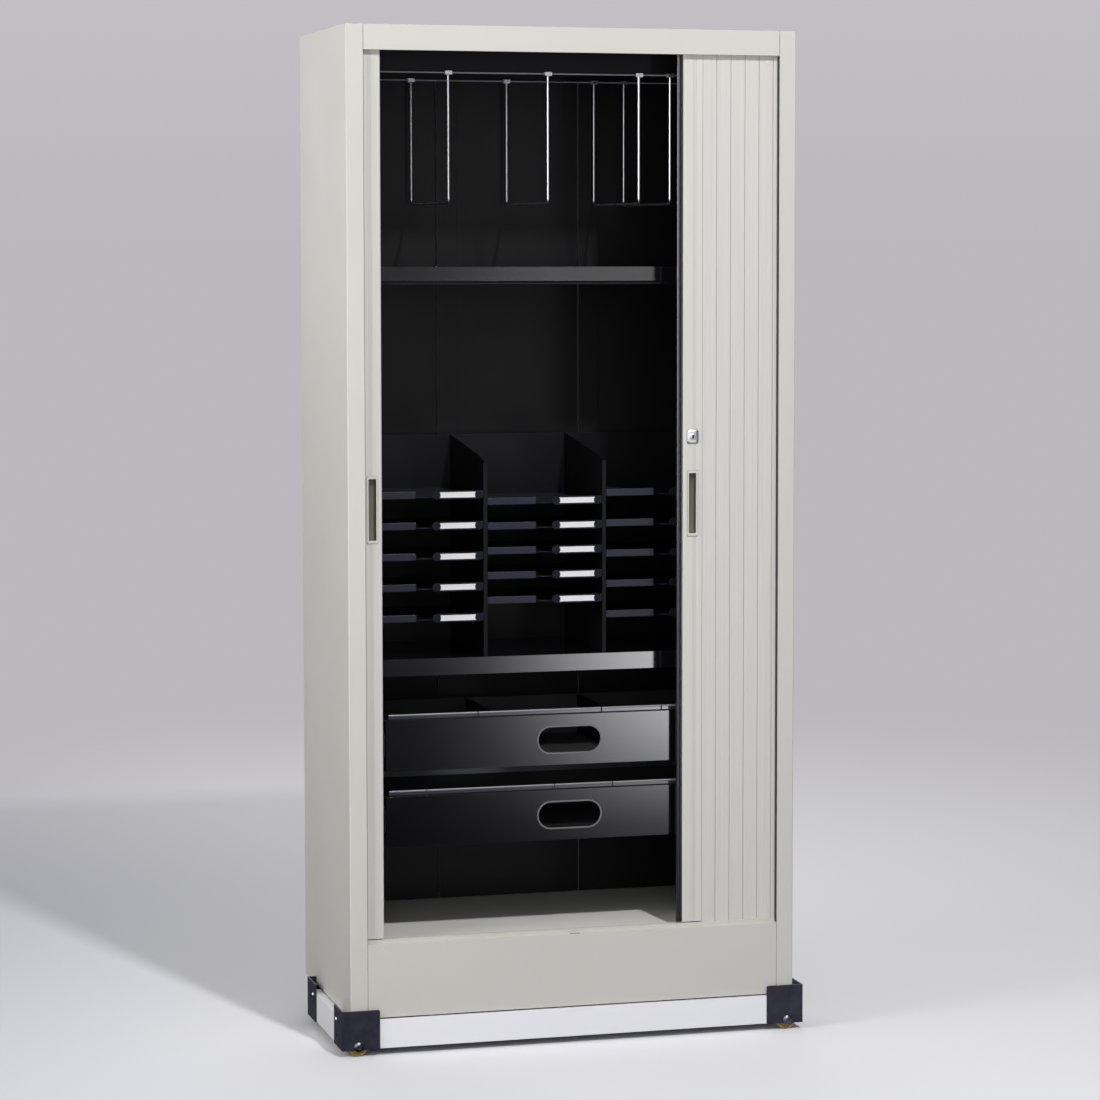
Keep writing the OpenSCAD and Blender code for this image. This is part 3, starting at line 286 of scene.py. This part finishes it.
slotFinish = {
    "body_paint": "bodyPaint", "inner_paint": "innerPaint", "floor_paint": "floorPaint",
    "drawer_paint": "drawerPaint", "sorter_paint": "sorterPaint", "slats": "slats", "rail": "railCoat",
    "track": "trackCoat", "gasket": "gasketRubber", "black_plastic": "blackPlastic",
    "pull_plastic": "pullPlastic", "trim_plastic": "trimPlastic", "wire": "dividerWire",
    "runner_steel": "runnerZinc", "chrome": "chrome", "bracket_paint": "bracketPaint", "beam": "beamCoat",
    "bolt": "boltBlack", "wheel": "wheelNylon",
}
ownFinish = {
    "upper_shelf": "shelfPaint", "lower_shelf": "shelfPaint", "ceiling": "ceilingPaint",
    "sorter_back": "innerPaint", "sorter_uprights": "innerPaint", "upper_drawer_partitions": "innerPaint",
    "label_holders": "holderPlastic",
}
for subpart in frame["record"]["subparts"]:
    finish = finishes[ownFinish.get(subpart["node"], slotFinish[subpart["material_slot"]])]
    slots = nodes[subpart["node"]].data.materials
    if not slots:
        slots.append(finish)
    for i in range(len(slots)):
        slots[i] = finish


def sidedFinish(name, look, zero=0.0):
    # A copied finish of which one socket changes along an axis, between two ends that are counted from zero:
    # "before" holds up to the first and "after" from the second, and a side without one keeps what it had
    material = finishes[look["base"]].copy()
    material.name = name
    tree = material.node_tree
    source = tree.nodes.new(look["source"]).outputs[look["output"]]
    ends = [zero + end for end in look["ends"]]
    share = mapRange(tree, axisOf(tree, source, look["axis"]), ends)
    socket = tree.nodes["Principled BSDF"].inputs[look["socket"]]
    had = socket.links[0].from_socket
    mixed = mixValues(tree, look["kind"], share, look.get("before", had), look.get("after", had))
    tree.links.new(mixed, socket)
    return material


backLook = {        # faces that look outward carry the body's paint, and the others the charcoal one
    "base": "bodyPaint", "source": "ShaderNodeNewGeometry", "output": "Normal", "axis": "Y",
    "ends": (-0.1, 0.1), "socket": "Base Color", "kind": "RGBA",
    "before": linear(*paints["innerPaint"]["color"]),
}
drawerLook = {      # the gloss is kept to the front sheet's face, and behind it the paint is rough
    "base": "drawerPaint", "source": "ShaderNodeTexCoord", "output": "Object", "axis": "Y",
    "ends": (0.001, 0.004), "socket": "Roughness", "kind": "FLOAT", "after": 0.7,
}
railLipHighlightLook = {        # a pale band painted along the rails' lowest edge as the lip's highlight
    "base": "innerPaint", "source": "ShaderNodeTexCoord", "output": "Object", "axis": "Z",
    "ends": (0.0028, 0.0030), "socket": "Base Color", "kind": "RGBA", "before": linear(176, 176, 184),
}
nodes["back_panel"].data.materials[0] = sidedFinish("backPaint", backLook)
for drawer in ("upper_drawer", "lower_drawer"):
    nodes[drawer].data.materials[0] = sidedFinish(drawer + "Paint", drawerLook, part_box(drawer)[0].y)
nodes["divider_rails"].data.materials[0] = sidedFinish("railPaint", railLipHighlightLook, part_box("divider_rails")[0].z)
print("finishes:", len(finishes))


def gridFaces(rows, columns):
    # Each face joins a point to the next column, the next row and the corner between them, and the last
    # column joins the first
    row, column = np.meshgrid(np.arange(rows - 1), np.arange(columns), indexing="ij")
    after = (column + 1) % columns
    here, beyond = row * columns, (row + 1) * columns
    return np.stack([here + column, here + after, beyond + after, beyond + column], -1).reshape(-1, 4)


def insideOut(points, faces):
    # The signed volumes between the origin and all faces add up to less than zero when they point inward
    a, b, c, d = points[faces].transpose(1, 0, 2)
    return (np.cross(a, b) * c).sum() + (np.cross(a, c) * d).sum() < 0


def loftLoops(loops):
    # Quads between neighbouring loops, and a fan to the middle of the first and the last loop, whose faces
    # name that middle twice; the third array holds each face's material number
    loops = np.array(loops)
    rows, columns = loops.shape[:2]
    points = np.vstack([loops.reshape(-1, 3), loops[0].mean(0), loops[-1].mean(0)])
    ring = np.arange(columns)
    step = (ring + 1) % columns
    first, last = np.full(columns, rows * columns), np.full(columns, rows * columns + 1)
    top = (rows - 1) * columns
    faces = np.vstack([
        gridFaces(rows, columns),
        np.stack([step, ring, first, first], -1),
        np.stack([top + ring, top + step, last, last], -1),
    ])
    if insideOut(points, faces):
        faces = faces[:, [1, 0, 3, 2]]
    return points, faces, np.zeros(len(faces), int)


def makePiece(name, parts, materials, body, sharpDegrees=35):
    # All parts in one mesh: each part's faces count from the number of points before it
    points = np.vstack([part[0] for part in parts])
    starts = np.cumsum([0] + [len(part[0]) for part in parts])
    faces = np.vstack([part[1] + start for part, start in zip(parts, starts)]).tolist()
    marks = np.concatenate([part[2] for part in parts]).tolist()
    mesh = bpy.data.meshes.new(name)
    mesh.from_pydata(points.tolist(), [], [face[:3] if face[2] == face[3] else face for face in faces])
    mesh.polygons.foreach_set("material_index", marks)
    mesh.polygons.foreach_set("use_smooth", [True] * len(faces))
    mesh.set_sharp_from_angle(angle=math.radians(sharpDegrees))
    for material in materials:
        mesh.materials.append(finishes[material])
    piece = bpy.data.objects.new(name, mesh)
    bpy.context.scene.collection.objects.link(piece)
    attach(piece, body)
    return piece


def roundedLoop(width, height, radius, steps):
    # Four quarter turns about the corner centres of a rectangle, one after another
    turn = np.linspace(0, np.pi / 2, steps) + np.arange(4)[:, None] * np.pi / 2
    side = np.array([1, -1, -1, 1])[:, None]
    level = np.array([1, 1, -1, -1])[:, None]
    x = side * (width / 2 - radius) + radius * np.cos(turn)
    z = level * (height / 2 - radius) + radius * np.sin(turn)
    return x.ravel(), z.ravel()


def facingFront(x, z, rows, steps=6):
    # Rounded rectangles about (x, z), each with its width, height, corner radius and depth y
    loops = []
    for width, height, radius, y in rows:
        across, up = roundedLoop(width, height, radius, steps)
        loops.append(np.stack([x + across, np.full(across.shape, y), z + up], -1))
    return loops


def turnedAlong(middle, axis, rows, steps=20):
    # Circles about a level axis, each with its radius and its distance along the axis
    middle, axis = np.array(middle), np.array(axis, float)
    u = np.cross(axis, (0, 0, 1))
    v = np.cross(axis, u)
    turn = np.linspace(0, 2 * np.pi, steps, endpoint=False)[:, None]
    circle = u * np.cos(turn) + v * np.sin(turn)
    return [middle + axis * far + radius * circle for radius, far in rows]


curtainLook = {
    "slatPitch": 0.0294, "slatCount": 14, "stripsPerSlat": 3, "thickness": 0.008, "crown": 0.0002,
    "jointDepth": 0.0026, "jointHalfWidth": 0.0011, "stripDepth": 0.00018, "stripHalfWidth": 0.0012,
    "backShare": 0.4, "samplesPerSlat": 90,
    "cornerX": 0.426, "cornerY": -0.1845, "bendRadius": 0.021, "pocketLength": 0.43,
    "pathSpacing": 0.0015, "cornerSteps": 23,
}


def toNearest(along, pitch):
    # How far the nearest whole number of pitches is
    return np.abs((along + pitch / 2) % pitch - pitch / 2)


def cosineNotch(far, depth, halfWidth):
    # The full depth in the middle, falling to nothing at the half width as half a cosine wave does
    return depth * 0.5 * (1 + np.cos(np.pi * np.clip(far / halfWidth, 0, 1)))


def slatRelief(along, look):
    # How far the slats' face lies behind its plane: a joint's notch, or a strip's notch and a shallow crown
    strip = look["slatPitch"] / look["stripsPerSlat"]
    toStrip = toNearest(along, strip)
    joint = cosineNotch(toNearest(along, look["slatPitch"]), look["jointDepth"], look["jointHalfWidth"])
    band = cosineNotch(toStrip, look["stripDepth"], look["stripHalfWidth"])
    crown = look["crown"] * (2 * toStrip / strip - 1) ** 2
    return np.maximum(joint, band + crown)


def slatCurtain(start, step, low, high, look):
    # A flat strip in X with the relief on its front, and a share of it on its back as a hinge line
    length = look["slatPitch"] * look["slatCount"]
    along = np.linspace(0, length, look["samplesPerSlat"] * look["slatCount"] + 1)
    relief = slatRelief(along, look)
    loops = np.zeros((len(along), 4, 3))
    loops[:, :, 0] = (start + step * along)[:, None]
    loops[:, :2, 1] = (relief - look["thickness"] / 2)[:, None]
    loops[:, 2:, 1] = (look["thickness"] / 2 - look["backShare"] * relief)[:, None]
    loops[:, :, 2] = (low, high, high, low)
    return loftLoops(loops)


def trackPath(name, look, left):
    # Straight along the front, a quarter circle at the corner, and straight back into the pocket
    cornerX, cornerY, radius = look["cornerX"], look["cornerY"], look["bendRadius"]
    spacing = look["pathSpacing"]
    run = np.arange(0, cornerX, spacing)
    turn = np.linspace(0, np.pi / 2, look["cornerSteps"])
    back = np.arange(spacing, look["pocketLength"] + spacing, spacing)
    x = np.concatenate([run, cornerX + radius * np.sin(turn), 0 * back + cornerX + radius])
    y = np.concatenate([0 * run + cornerY - radius, cornerY - radius * np.cos(turn), cornerY + back])
    if left:
        x, y = -x[::-1], y[::-1]
    curve = bpy.data.curves.new(name, "CURVE")
    curve.dimensions = "3D"
    curve.twist_mode = "Z_UP"
    curve.use_deform_bounds = False
    spline = curve.splines.new("POLY")
    spline.points.add(len(x) - 1)
    spline.points.foreach_set("co", np.stack([x, y, 0 * x, 0 * x + 1], -1).ravel())
    path = bpy.data.objects.new(name, curve)
    path.hide_render = True
    bpy.context.scene.collection.objects.link(path)
    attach(path, "cabinet")
    return path, float(np.hypot(np.diff(x), np.diff(y)).sum())


def bentCurtain(side, look):
    # The strip starts at the lead rail, and a live Curve modifier bends it along the track in every pose
    path, pathLength = trackPath(side + "TrackPath", look, side == "left")
    low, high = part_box(side + "_curtain")
    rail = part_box(side + "_lead_rail")
    if side == "right":
        start, step = rail[1].x, 1
    else:
        start, step = rail[0].x + pathLength, -1      # the left path ends at the middle of the front
    strip = slatCurtain(start, step, low.z, high.z, look)
    curtain = makePiece(side + "SlatCurtain", [strip], ["slats"], side + "_door", sharpDegrees=60)
    bend = curtain.modifiers.new("bendAlongTrack", "CURVE")
    bend.object = path
    bend.deform_axis = "POS_X"
    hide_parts(side + "_curtain")


for side in ("left", "right"):
    bentCurtain(side, curtainLook)
print("slat curtains bent along their tracks")


pullLook = {
    "frame": (0.023, 0.132), "cup": (0.017, 0.124), "opening": (0.015, 0.120), "lip": 0.0015,
    # An outline, what its width and height gain, its corner radius, the share of the lip by which it stands
    # ahead of the door's face, and the depth at which it lies behind: up the outside of the cup, over the
    # frame and down into the cup
    "profile": [
        ("cup", 0, 0, 0.0015, 0, 0.014), ("cup", 0, 0, 0.0015, 0, 0.0002),
        ("cup", 0.001, 0.001, 0.0018, 0, 0), ("frame", -0.0002, -0.0002, 0.003, 0, 0),
        ("frame", 0, 0, 0.003, 0.2, 0), ("frame", 0, 0, 0.003, 0.6, 0),
        ("frame", -0.0005, -0.0005, 0.0028, 0.88, 0), ("frame", -0.0013, -0.0013, 0.0024, 1, 0),
        ("opening", 0.002, 0.002, 0.0022, 1, 0), ("opening", 0.0008, 0.0008, 0.0017, 0.85, 0),
        ("opening", 0, 0, 0.0013, 0.3, 0), ("opening", -0.0002, -0.0002, 0.0013, 0, 0.002),
        ("opening", -0.0012, -0.003, 0.0020, 0, 0.008), ("opening", -0.0030, -0.006, 0.0030, 0, 0.0108),
        ("opening", -0.0060, -0.010, 0.0035, 0, 0.0115),
    ],
    "shadeBands": (4, 7), "cupBand": 11,
}


def doorPull(side, look):
    # Rounded rectangles carried along the profile, and closed at both its ends
    low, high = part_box(side + "_pull")
    face = low.y + look["lip"]
    rows = []
    for outline, wider, higher, radius, ahead, behind in look["profile"]:
        width, height = look[outline]
        rows.append((width + wider, height + higher, radius, face - ahead * look["lip"] + behind))
    loops = facingFront((low.x + high.x) / 2, (low.z + high.z) / 2, rows)
    shell = loftLoops(loops)
    marks, count = shell[2], len(loops[0])
    shadeStart, shadeEnd = look["shadeBands"]
    marks[look["cupBand"] * count:] = 1               # the cup's inside, painted darker as its shade, with its floor as the last fan
    marks[-2 * count:-count] = 0                      # the fan that closes the back
    marks[shadeStart * count:shadeEnd * count] = 2      # the frame's outer edge, painted grey as the shade in the joint
    materials = ["pullPlastic", "pullCupShade", "pullEdgeShade"]
    piece = makePiece(side + "Pull", [shell], materials, side + "_door", sharpDegrees=40)
    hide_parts(side + "_pull")


for side in ("left", "right"):
    doorPull(side, pullLook)
print("pulls")


lockLook = {
    "size": (0.0242, 0.0290), "corner": 0.0056, "cornerShare": 0.125, "behind": 0.0019, "sunk": 0.004,
    "bevel": 0.0170, "bevelSteps": 12, "dome": 0.0026, "cornerSteps": 8, "edgeBands": 4,
    # The collar's radius, then what each ring adds to it and how far it stands ahead of the plate
    "collar": 0.0074, "ringSteps": 40, "gapBand": 3,
    "rings": [(0, -0.0010), (0, 0.0002), (-0.0003, 0.0006), (-0.0009, 0.0006), (-0.0011, -0.0002)],
    "core": 0.0057, "coreSunk": 0.003, "coreAhead": 0.0004, "coreDome": 0.0005, "coreTurn": 1.35,
    "coreSteps": 6, "materials": ["lockChrome", "blackPlastic"],
    "key": (0.0044, 0.0070), "keyCorner": 0.0008, "keySteps": 4, "keyAhead": 0.00094, "keySunk": 0.002,
}


def lockPlace(look):
    # The middle of the plate's front, which the dome brings ahead of the plate's edge
    low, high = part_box("lock_housing")
    return (low.x + high.x) / 2, low.y + look["behind"] - look["dome"], (low.z + high.z) / 2


def lockPlate(look, x, front, z):
    # A pillow with a round collar on top: rounded rectangles shrink by 1 - cos(a) while they rise by sin(a)
    width, height = look["size"]
    corner, edge = look["corner"], front + look["dome"]
    rows = [(width, height, corner, edge + look["sunk"])]
    for a in np.linspace(0, np.pi / 2, look["bevelSteps"]):
        less = look["bevel"] * (1 - math.cos(a))
        rise = look["dome"] * math.sin(a)
        rows.append((width - less, height - less, corner - look["cornerShare"] * less, edge - rise))
    loops = facingFront(x, z, rows, look["cornerSteps"])
    plate = loftLoops(loops)
    rings = [(look["collar"] + wider, ahead) for wider, ahead in look["rings"]]
    collar = loftLoops(turnedAlong((x, front, z), (0, -1, 0), rings, look["ringSteps"]))
    plate[2][:look["edgeBands"] * len(loops[0])] = 1        # the plate's edge is painted black as shade
    collar[2][look["gapBand"] * look["ringSteps"]:] = 1     # the gap inside the collar, around the core, is painted black as shade
    piece = makePiece("lockPlate", [plate, collar], look["materials"], "right_door", sharpDegrees=50)
    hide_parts("lock_housing")


def lockCore(look, x, front, z):
    # A disc that turns with the key, with a black slot in its middle that paints the keyhole's shade: the
    # disc's radius falls as cos(a) while it rises as sin(a)
    turn = np.linspace(0, look["coreTurn"], look["coreSteps"])
    rings = [(look["core"], -look["coreSunk"])]
    rings += [(look["core"] * math.cos(a), look["coreAhead"] + look["coreDome"] * math.sin(a)) for a in turn]
    core = loftLoops(turnedAlong((x, front, z), (0, -1, 0), rings, look["ringSteps"]))
    outline = (*look["key"], look["keyCorner"])
    tip = front - look["keyAhead"]
    rows = [(*outline, tip + look["keySunk"]), (*outline, tip)]
    slot = loftLoops(facingFront(x, z, rows, look["keySteps"]))
    # the slot is painted black as the keyhole's shade
    slot[2][:] = 1
    piece = makePiece("lockCore", [core, slot], look["materials"], "lock", sharpDegrees=50)
    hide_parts("lock_cylinder")


lockPlate(lockLook, *lockPlace(lockLook))
lockCore(lockLook, *lockPlace(lockLook))
print("lock")


# black strips that paint the shade in the gap between each stile's fold and the curtain
shadeStripLook = {
    "inner": 0.4224, "thickness": 0.0008, "front": 0.0004, "slope": 0.0003, "depth": 0.0108,
    "bottom": 0.220, "top": 1.961,
}


def paintedShadeStrips(look):
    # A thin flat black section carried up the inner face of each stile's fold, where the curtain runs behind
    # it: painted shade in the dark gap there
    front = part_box("right_side")[0].y + look["front"]
    parts = []
    for out in (-1, 1):
        x0, x1 = out * look["inner"], out * (look["inner"] - look["thickness"])
        back = front + look["depth"]
        corners = [(x0, front), (x1, front + look["slope"]), (x1, back), (x0, back)]
        parts.append(loftLoops([[(x, y, z) for x, y in corners] for z in (look["bottom"], look["top"])]))
    shadeStrips = makePiece("paintedShadeStrips", parts, ["blackPlastic"], "cabinet")


paintedShadeStrips(shadeStripLook)
print("shadeStrips")


labelLook = {
    "width": 0.080, "height": 0.0112, "thickness": 0.0005, "corner": 0.0008, "cornerSteps": 3,
    "behind": 0.0012, "firstUpright": -0.4026, "pitch": 0.2456, "fromUpright": 0.0575, "levels": 5,
    "up": 0.0075, "lowest": (0.072, 0.104, 0.070), "rise": (0.0613, 0.0495, 0.0613),
}


def labelCards(look):
    # One thin rounded card in each holder's window: columns and levels are counted on the holders' own places
    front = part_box("label_holders")[1].y - look["behind"]
    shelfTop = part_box("sorter_uprights")[0].z
    outline = (look["width"], look["height"], look["corner"])
    rows = [(*outline, front), (*outline, front - look["thickness"])]
    parts = []
    for column, (lowest, rise) in enumerate(zip(look["lowest"], look["rise"]), start=1):
        x = look["firstUpright"] + column * look["pitch"] - look["fromUpright"]
        for level in range(look["levels"]):
            z = shelfTop + lowest + level * rise + look["up"]
            parts.append(loftLoops(facingFront(x, z, rows, look["cornerSteps"])))
    labels = makePiece("labelCards", parts, ["labelCard"], "cabinet")


labelCards(labelLook)
print("labels")


rimLook = {
    "behind": 0.0024, "foot": 0.016, "gap": 0.0026, "rise": 0.0115, "sheet": 0.0012, "bead": 0.0016,
    "beadSteps": 13, "footEdge": 0, "highlightBands": (2, 11), "endGap": 0.006, "notch": 0.0022,
    "notches": {"upper_drawer": (0.25, 0.59, 0.757), "lower_drawer": (0.11, 0.46, 0.62)},
}


def drawerRim(drawer, look):
    # A sheet on edge with a rolled top, three quarters of a circle, carried along X and cut at each notch
    low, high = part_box(drawer)
    face, back = low.y + look["behind"], low.y + look["behind"] + look["sheet"]
    foot, top = high.z - look["foot"], high.z + look["rise"]
    under = top - 2 * look["bead"]
    turn = np.linspace(-0.25 * np.pi, 1.25 * np.pi, look["beadSteps"])
    rollY = face + look["sheet"] / 2 - look["bead"] * np.cos(turn)
    rollZ = top - look["bead"] + look["bead"] * np.sin(turn)
    y = np.concatenate([[face, face, face], rollY, [back, back]])
    z = np.concatenate([[foot, high.z + look["gap"], under], rollZ, [under, foot]])
    cuts = [low.x + (high.x - low.x) * share for share in look["notches"][drawer]]
    starts = [low.x + look["endGap"]] + [cut + look["notch"] / 2 for cut in cuts]
    ends = [cut - look["notch"] / 2 for cut in cuts] + [high.x - look["endGap"]]
    highlightStart, highlightEnd = look["highlightBands"]
    parts = []
    for start, end in zip(starts, ends):
        part = loftLoops([np.stack([np.full(y.shape, x), y, z], -1) for x in (start, end)])
        part[2][look["footEdge"]] = 1             # the foot is painted dark as shade
        part[2][highlightStart:highlightEnd] = 2            # the roll is painted bright as a highlight
        parts.append(part)
    side = drawer.split("_")[0]
    rim = makePiece(side + "DrawerRim", parts, ["rimPaint", "innerPaint", "rimHighlight"], drawer, sharpDegrees=30)


for drawer in ("upper_drawer", "lower_drawer"):
    drawerRim(drawer, rimLook)
print("drawer rims")


screwLook = {
    "radius": 0.0046, "height": 0.0024, "turn": (0.15, 1.15), "steps": 6, "radiusTurn": 0.95,
    "heightTurn": 1.2, "socket": 0.36, "socketFloor": 0.34, "socketDepth": 0.35, "sunk": 0.0002,
}
flangeLook = {"fromEnd": 0.0575, "up": 0.052, **screwLook}
panelLook = {"fromSide": 0.016, "fromEnd": 0.05, "count": 8, **screwLook}


def buttonScrew(middle, axis, look):
    # Domed head: circles whose radius falls as the cosine while the height grows as the sine, with a socket
    radius, height = look["radius"], look["height"]
    turn = np.linspace(*look["turn"], look["steps"])
    falling = radius * np.cos(turn * look["radiusTurn"])
    rising = height * np.sin(turn * look["heightTurn"]) / math.sin(turn[-1] * look["heightTurn"])
    socketFloor = (radius * look["socketFloor"], height * look["socketDepth"])
    rows = [(radius, 0.0), *zip(falling, rising), (radius * look["socket"], rising[-1]), socketFloor]
    return loftLoops(turnedAlong(middle, axis, rows))


def flangeScrews(look):
    # A screw in the upper hole of each side flange, into the beam
    low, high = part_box("corner_brackets")
    parts = []
    for x, out in ((low.x, -1), (high.x, 1)):
        for y in (low.y + look["fromEnd"], high.y - look["fromEnd"]):
            place = (x - out * look["sunk"], y, low.z + look["up"])
            parts.append(buttonScrew(place, (out, 0, 0), look))
    screws = makePiece("flangeScrews", parts, ["screwZinc"], "cabinet", sharpDegrees=50)


def backScrews(look):
    # Rows of screws near both edges of the back panel
    low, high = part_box("back_panel")
    parts = []
    for x in (low.x + look["fromSide"], high.x - look["fromSide"]):
        for z in np.linspace(low.z + look["fromEnd"], high.z - look["fromEnd"], look["count"]):
            parts.append(buttonScrew((x, high.y - look["sunk"], z), (0, 1, 0), look))
    screws = makePiece("backScrews", parts, ["screwZinc"], "cabinet", sharpDegrees=50)


flangeScrews(flangeLook)
backScrews(panelLook)
print("screws")


floorLook = {
    "reach": 60.0, "nearLeft": (200, 202, 208), "nearRight": (243, 242, 246), "acrossEnds": (-1.5, -0.1),
    "bounce": (172, 172, 176), "far": (187, 184, 189), "fadeEnds": (1.2, 5.5),
    "panel": (250, 249, 255), "slant": (1, 0.25, 0), "slantEnds": (-2, 2),
    "panelStops": [(0.0, 0.2), (0.04, 0.0), (0.30, 0.008), (0.41, 0.012), (0.45, 0.06), (0.50, 0.24),
                   (0.56, 0.72), (0.61, 1.12), (0.66, 1.3), (0.69, 1.2), (0.72, 0.02), (1.0, 0.02)],
    "aheadEnds": (-2.6, -5.0), "aheadPower": (0.4, 5.8),
}


def plainFloor(look):
    # A flat square, pale near the cabinet and fading to the backdrop's colour further off
    reach = look["reach"]
    mesh = bpy.data.meshes.new("plainFloor")
    corners = [(-reach, -reach, 0), (reach, -reach, 0), (reach, reach, 0), (-reach, reach, 0)]
    mesh.from_pydata(corners, [], [(0, 1, 2, 3)])
    floor = bpy.data.objects.new("plainFloor", mesh)
    bpy.context.scene.collection.objects.link(floor)
    material = bpy.data.materials.new("plainFloor")
    material.use_nodes = True
    tree = material.node_tree
    tree.nodes.remove(tree.nodes["Principled BSDF"])
    place = tree.nodes.new("ShaderNodeTexCoord").outputs["Object"]
    ray = tree.nodes.new("ShaderNodeLightPath").outputs

    # The camera sees a paler tone to the right, and other rays one grey
    across = mapRange(tree, axisOf(tree, place, "X"), look["acrossEnds"])
    tone = mixValues(tree, "RGBA", across, linear(*look["nearLeft"]), linear(*look["nearRight"]))
    shown = mixValues(tree, "RGBA", ray["Is Camera Ray"], linear(*look["bounce"]), tone)
    near = tree.nodes.new("ShaderNodeBsdfDiffuse")
    tree.links.new(shown, near.inputs["Color"])
    far = addNode(tree, "ShaderNodeEmission", Color=linear(*look["far"]))
    length = tree.nodes.new("ShaderNodeVectorMath")
    length.operation = "LENGTH"
    tree.links.new(place, length.inputs[0])
    fade = mapRange(tree, length.outputs["Value"], look["fadeEnds"])
    fade.node.interpolation_type = "SMOOTHSTEP"
    plain = mixShaders(tree, fade, near.outputs[0], far.outputs[0])

    # Glossy rays see a painted reflection: a long soft panel lying to the right, dark on its left and
    # brighter further forward
    slant = tree.nodes.new("ShaderNodeVectorMath")
    slant.operation = "DOT_PRODUCT"
    slant.inputs[1].default_value = look["slant"]
    tree.links.new(place, slant.inputs[0])
    shade = greyRamp(tree, mapRange(tree, slant.outputs["Value"], look["slantEnds"]), look["panelStops"])
    power = tree.nodes.new("ShaderNodeMath")
    power.operation = "MULTIPLY"
    tree.links.new(shade, power.inputs[0])
    ahead = mapRange(tree, axisOf(tree, place, "Y"), look["aheadEnds"], look["aheadPower"])
    tree.links.new(ahead, power.inputs[1])
    # this emission is seen only in reflections, so it paints a reflection and lights nothing
    panel = addNode(tree, "ShaderNodeEmission", Color=linear(*look["panel"]))
    tree.links.new(power.outputs[0], panel.inputs["Strength"])
    choice = mixShaders(tree, ray["Is Glossy Ray"], plain, panel.outputs[0])
    tree.links.new(choice, tree.nodes["Material Output"].inputs["Surface"])
    mesh.materials.append(material)


worldLook = {
    "light": (238, 240, 246), "strength": 0.29,
    "horizon": (187, 184, 189), "top": (198, 194, 200), "topHeight": 0.1,
    "panelStops": [(0.0, 1.5), (0.50, 1.5), (0.53, 0.02), (0.612, 0.02), (0.645, 1.4), (0.664, 1.9),
                   (0.680, 0.05), (1.0, 0.05)],
}


def studioWorld(look):
    # Camera rays see a plain gradient, glossy rays a painted reflection of a soft panel to the right, and the
    # rest an even pale light
    world = bpy.data.worlds.new("studioWorld")
    bpy.context.scene.world = world
    world.use_nodes = True
    tree = world.node_tree
    even = tree.nodes["Background"]
    even.inputs["Color"].default_value = linear(*look["light"])
    even.inputs["Strength"].default_value = look["strength"]
    direction = tree.nodes.new("ShaderNodeTexCoord").outputs["Generated"]
    backdrop = tree.nodes.new("ShaderNodeBackground")
    stops = [(0, linear(*look["horizon"])), (look["topHeight"], linear(*look["top"]))]
    tree.links.new(rampOf(tree, axisOf(tree, direction, "Z"), stops), backdrop.inputs["Color"])
    # seen only by glossy rays: a painted reflection
    panel = tree.nodes.new("ShaderNodeBackground")
    toRight = mapRange(tree, axisOf(tree, direction, "X"), (-1, 1))
    tree.links.new(greyRamp(tree, toRight, look["panelStops"]), panel.inputs["Color"])
    ray = tree.nodes.new("ShaderNodeLightPath").outputs
    shown = mixShaders(tree, ray["Is Glossy Ray"], even.outputs[0], panel.outputs[0])
    for kind in ("Is Transmission Ray", "Is Camera Ray"):
        shown = mixShaders(tree, ray[kind], shown, backdrop.outputs[0])
    tree.links.new(shown, tree.nodes["World Output"].inputs["Surface"])


lamps = {
    "keyLight": {"place": (0.7, -4.7, 5.5), "target": (0, -0.2, 1.0), "size": (0.3, 0.3), "watts": 230},
    "sideFill": {"place": (-3.0, -1.05, 1.8), "target": (-0.46, -0.1, 0.8), "size": (1.3, 1.3), "watts": 40,
                 "color": (255, 253, 250)},
    "lowFill": {"place": (-1.2, -4.4, 0.9), "target": (0, -0.2, 0.4), "size": (1.6, 1.0), "watts": 22,
                "mirrored": False},      # the dark paint would mirror it
    "backFill": {"place": (0.8, 4.2, 3.4), "target": (0, 0.2, 0.9), "size": (3.0, 3.0), "watts": 58},
}


def softLight(name, look):
    # A rectangle of light that faces its target
    lamp = bpy.data.lights.new(name, "AREA")
    lamp.shape = "RECTANGLE"
    lamp.size, lamp.size_y = look["size"]
    lamp.energy = look["watts"]
    lamp.color = linear(*look.get("color", (255, 255, 255)))[:3]
    light = bpy.data.objects.new(name, lamp)
    light.location = look["place"]
    toTarget = Vector(look["target"]) - Vector(look["place"])
    light.rotation_euler = toTarget.to_track_quat("-Z", "Y").to_euler()
    light.visible_glossy = look.get("mirrored", True)
    bpy.context.scene.collection.objects.link(light)


plainFloor(floorLook)
studioWorld(worldLook)
for name, look in lamps.items():
    softLight(name, look)
print("floor, world and", len(lamps), "lights")


cameraLook = {
    "place": (-1.828, -6.840, 1.590), "yaw": 15.99, "pitch": 4.36, "lens": 114.2, "sensor": 36.0,
    "shift": (-0.0533, -0.0368),
}


def photoCamera(look):
    # It looks down by the pitch and to the right by the yaw, both in degrees
    data = bpy.data.cameras.new("photoCamera")
    data.lens = look["lens"]
    data.sensor_width = look["sensor"]
    data.shift_x, data.shift_y = look["shift"]
    camera = bpy.data.objects.new("photoCamera", data)
    camera.location = look["place"]
    camera.rotation_euler = (math.radians(90 - look["pitch"]), 0, math.radians(-look["yaw"]))
    bpy.context.scene.collection.objects.link(camera)
    bpy.context.scene.camera = camera


photoCamera(cameraLook)
bpy.context.scene.view_settings.view_transform = "Standard"
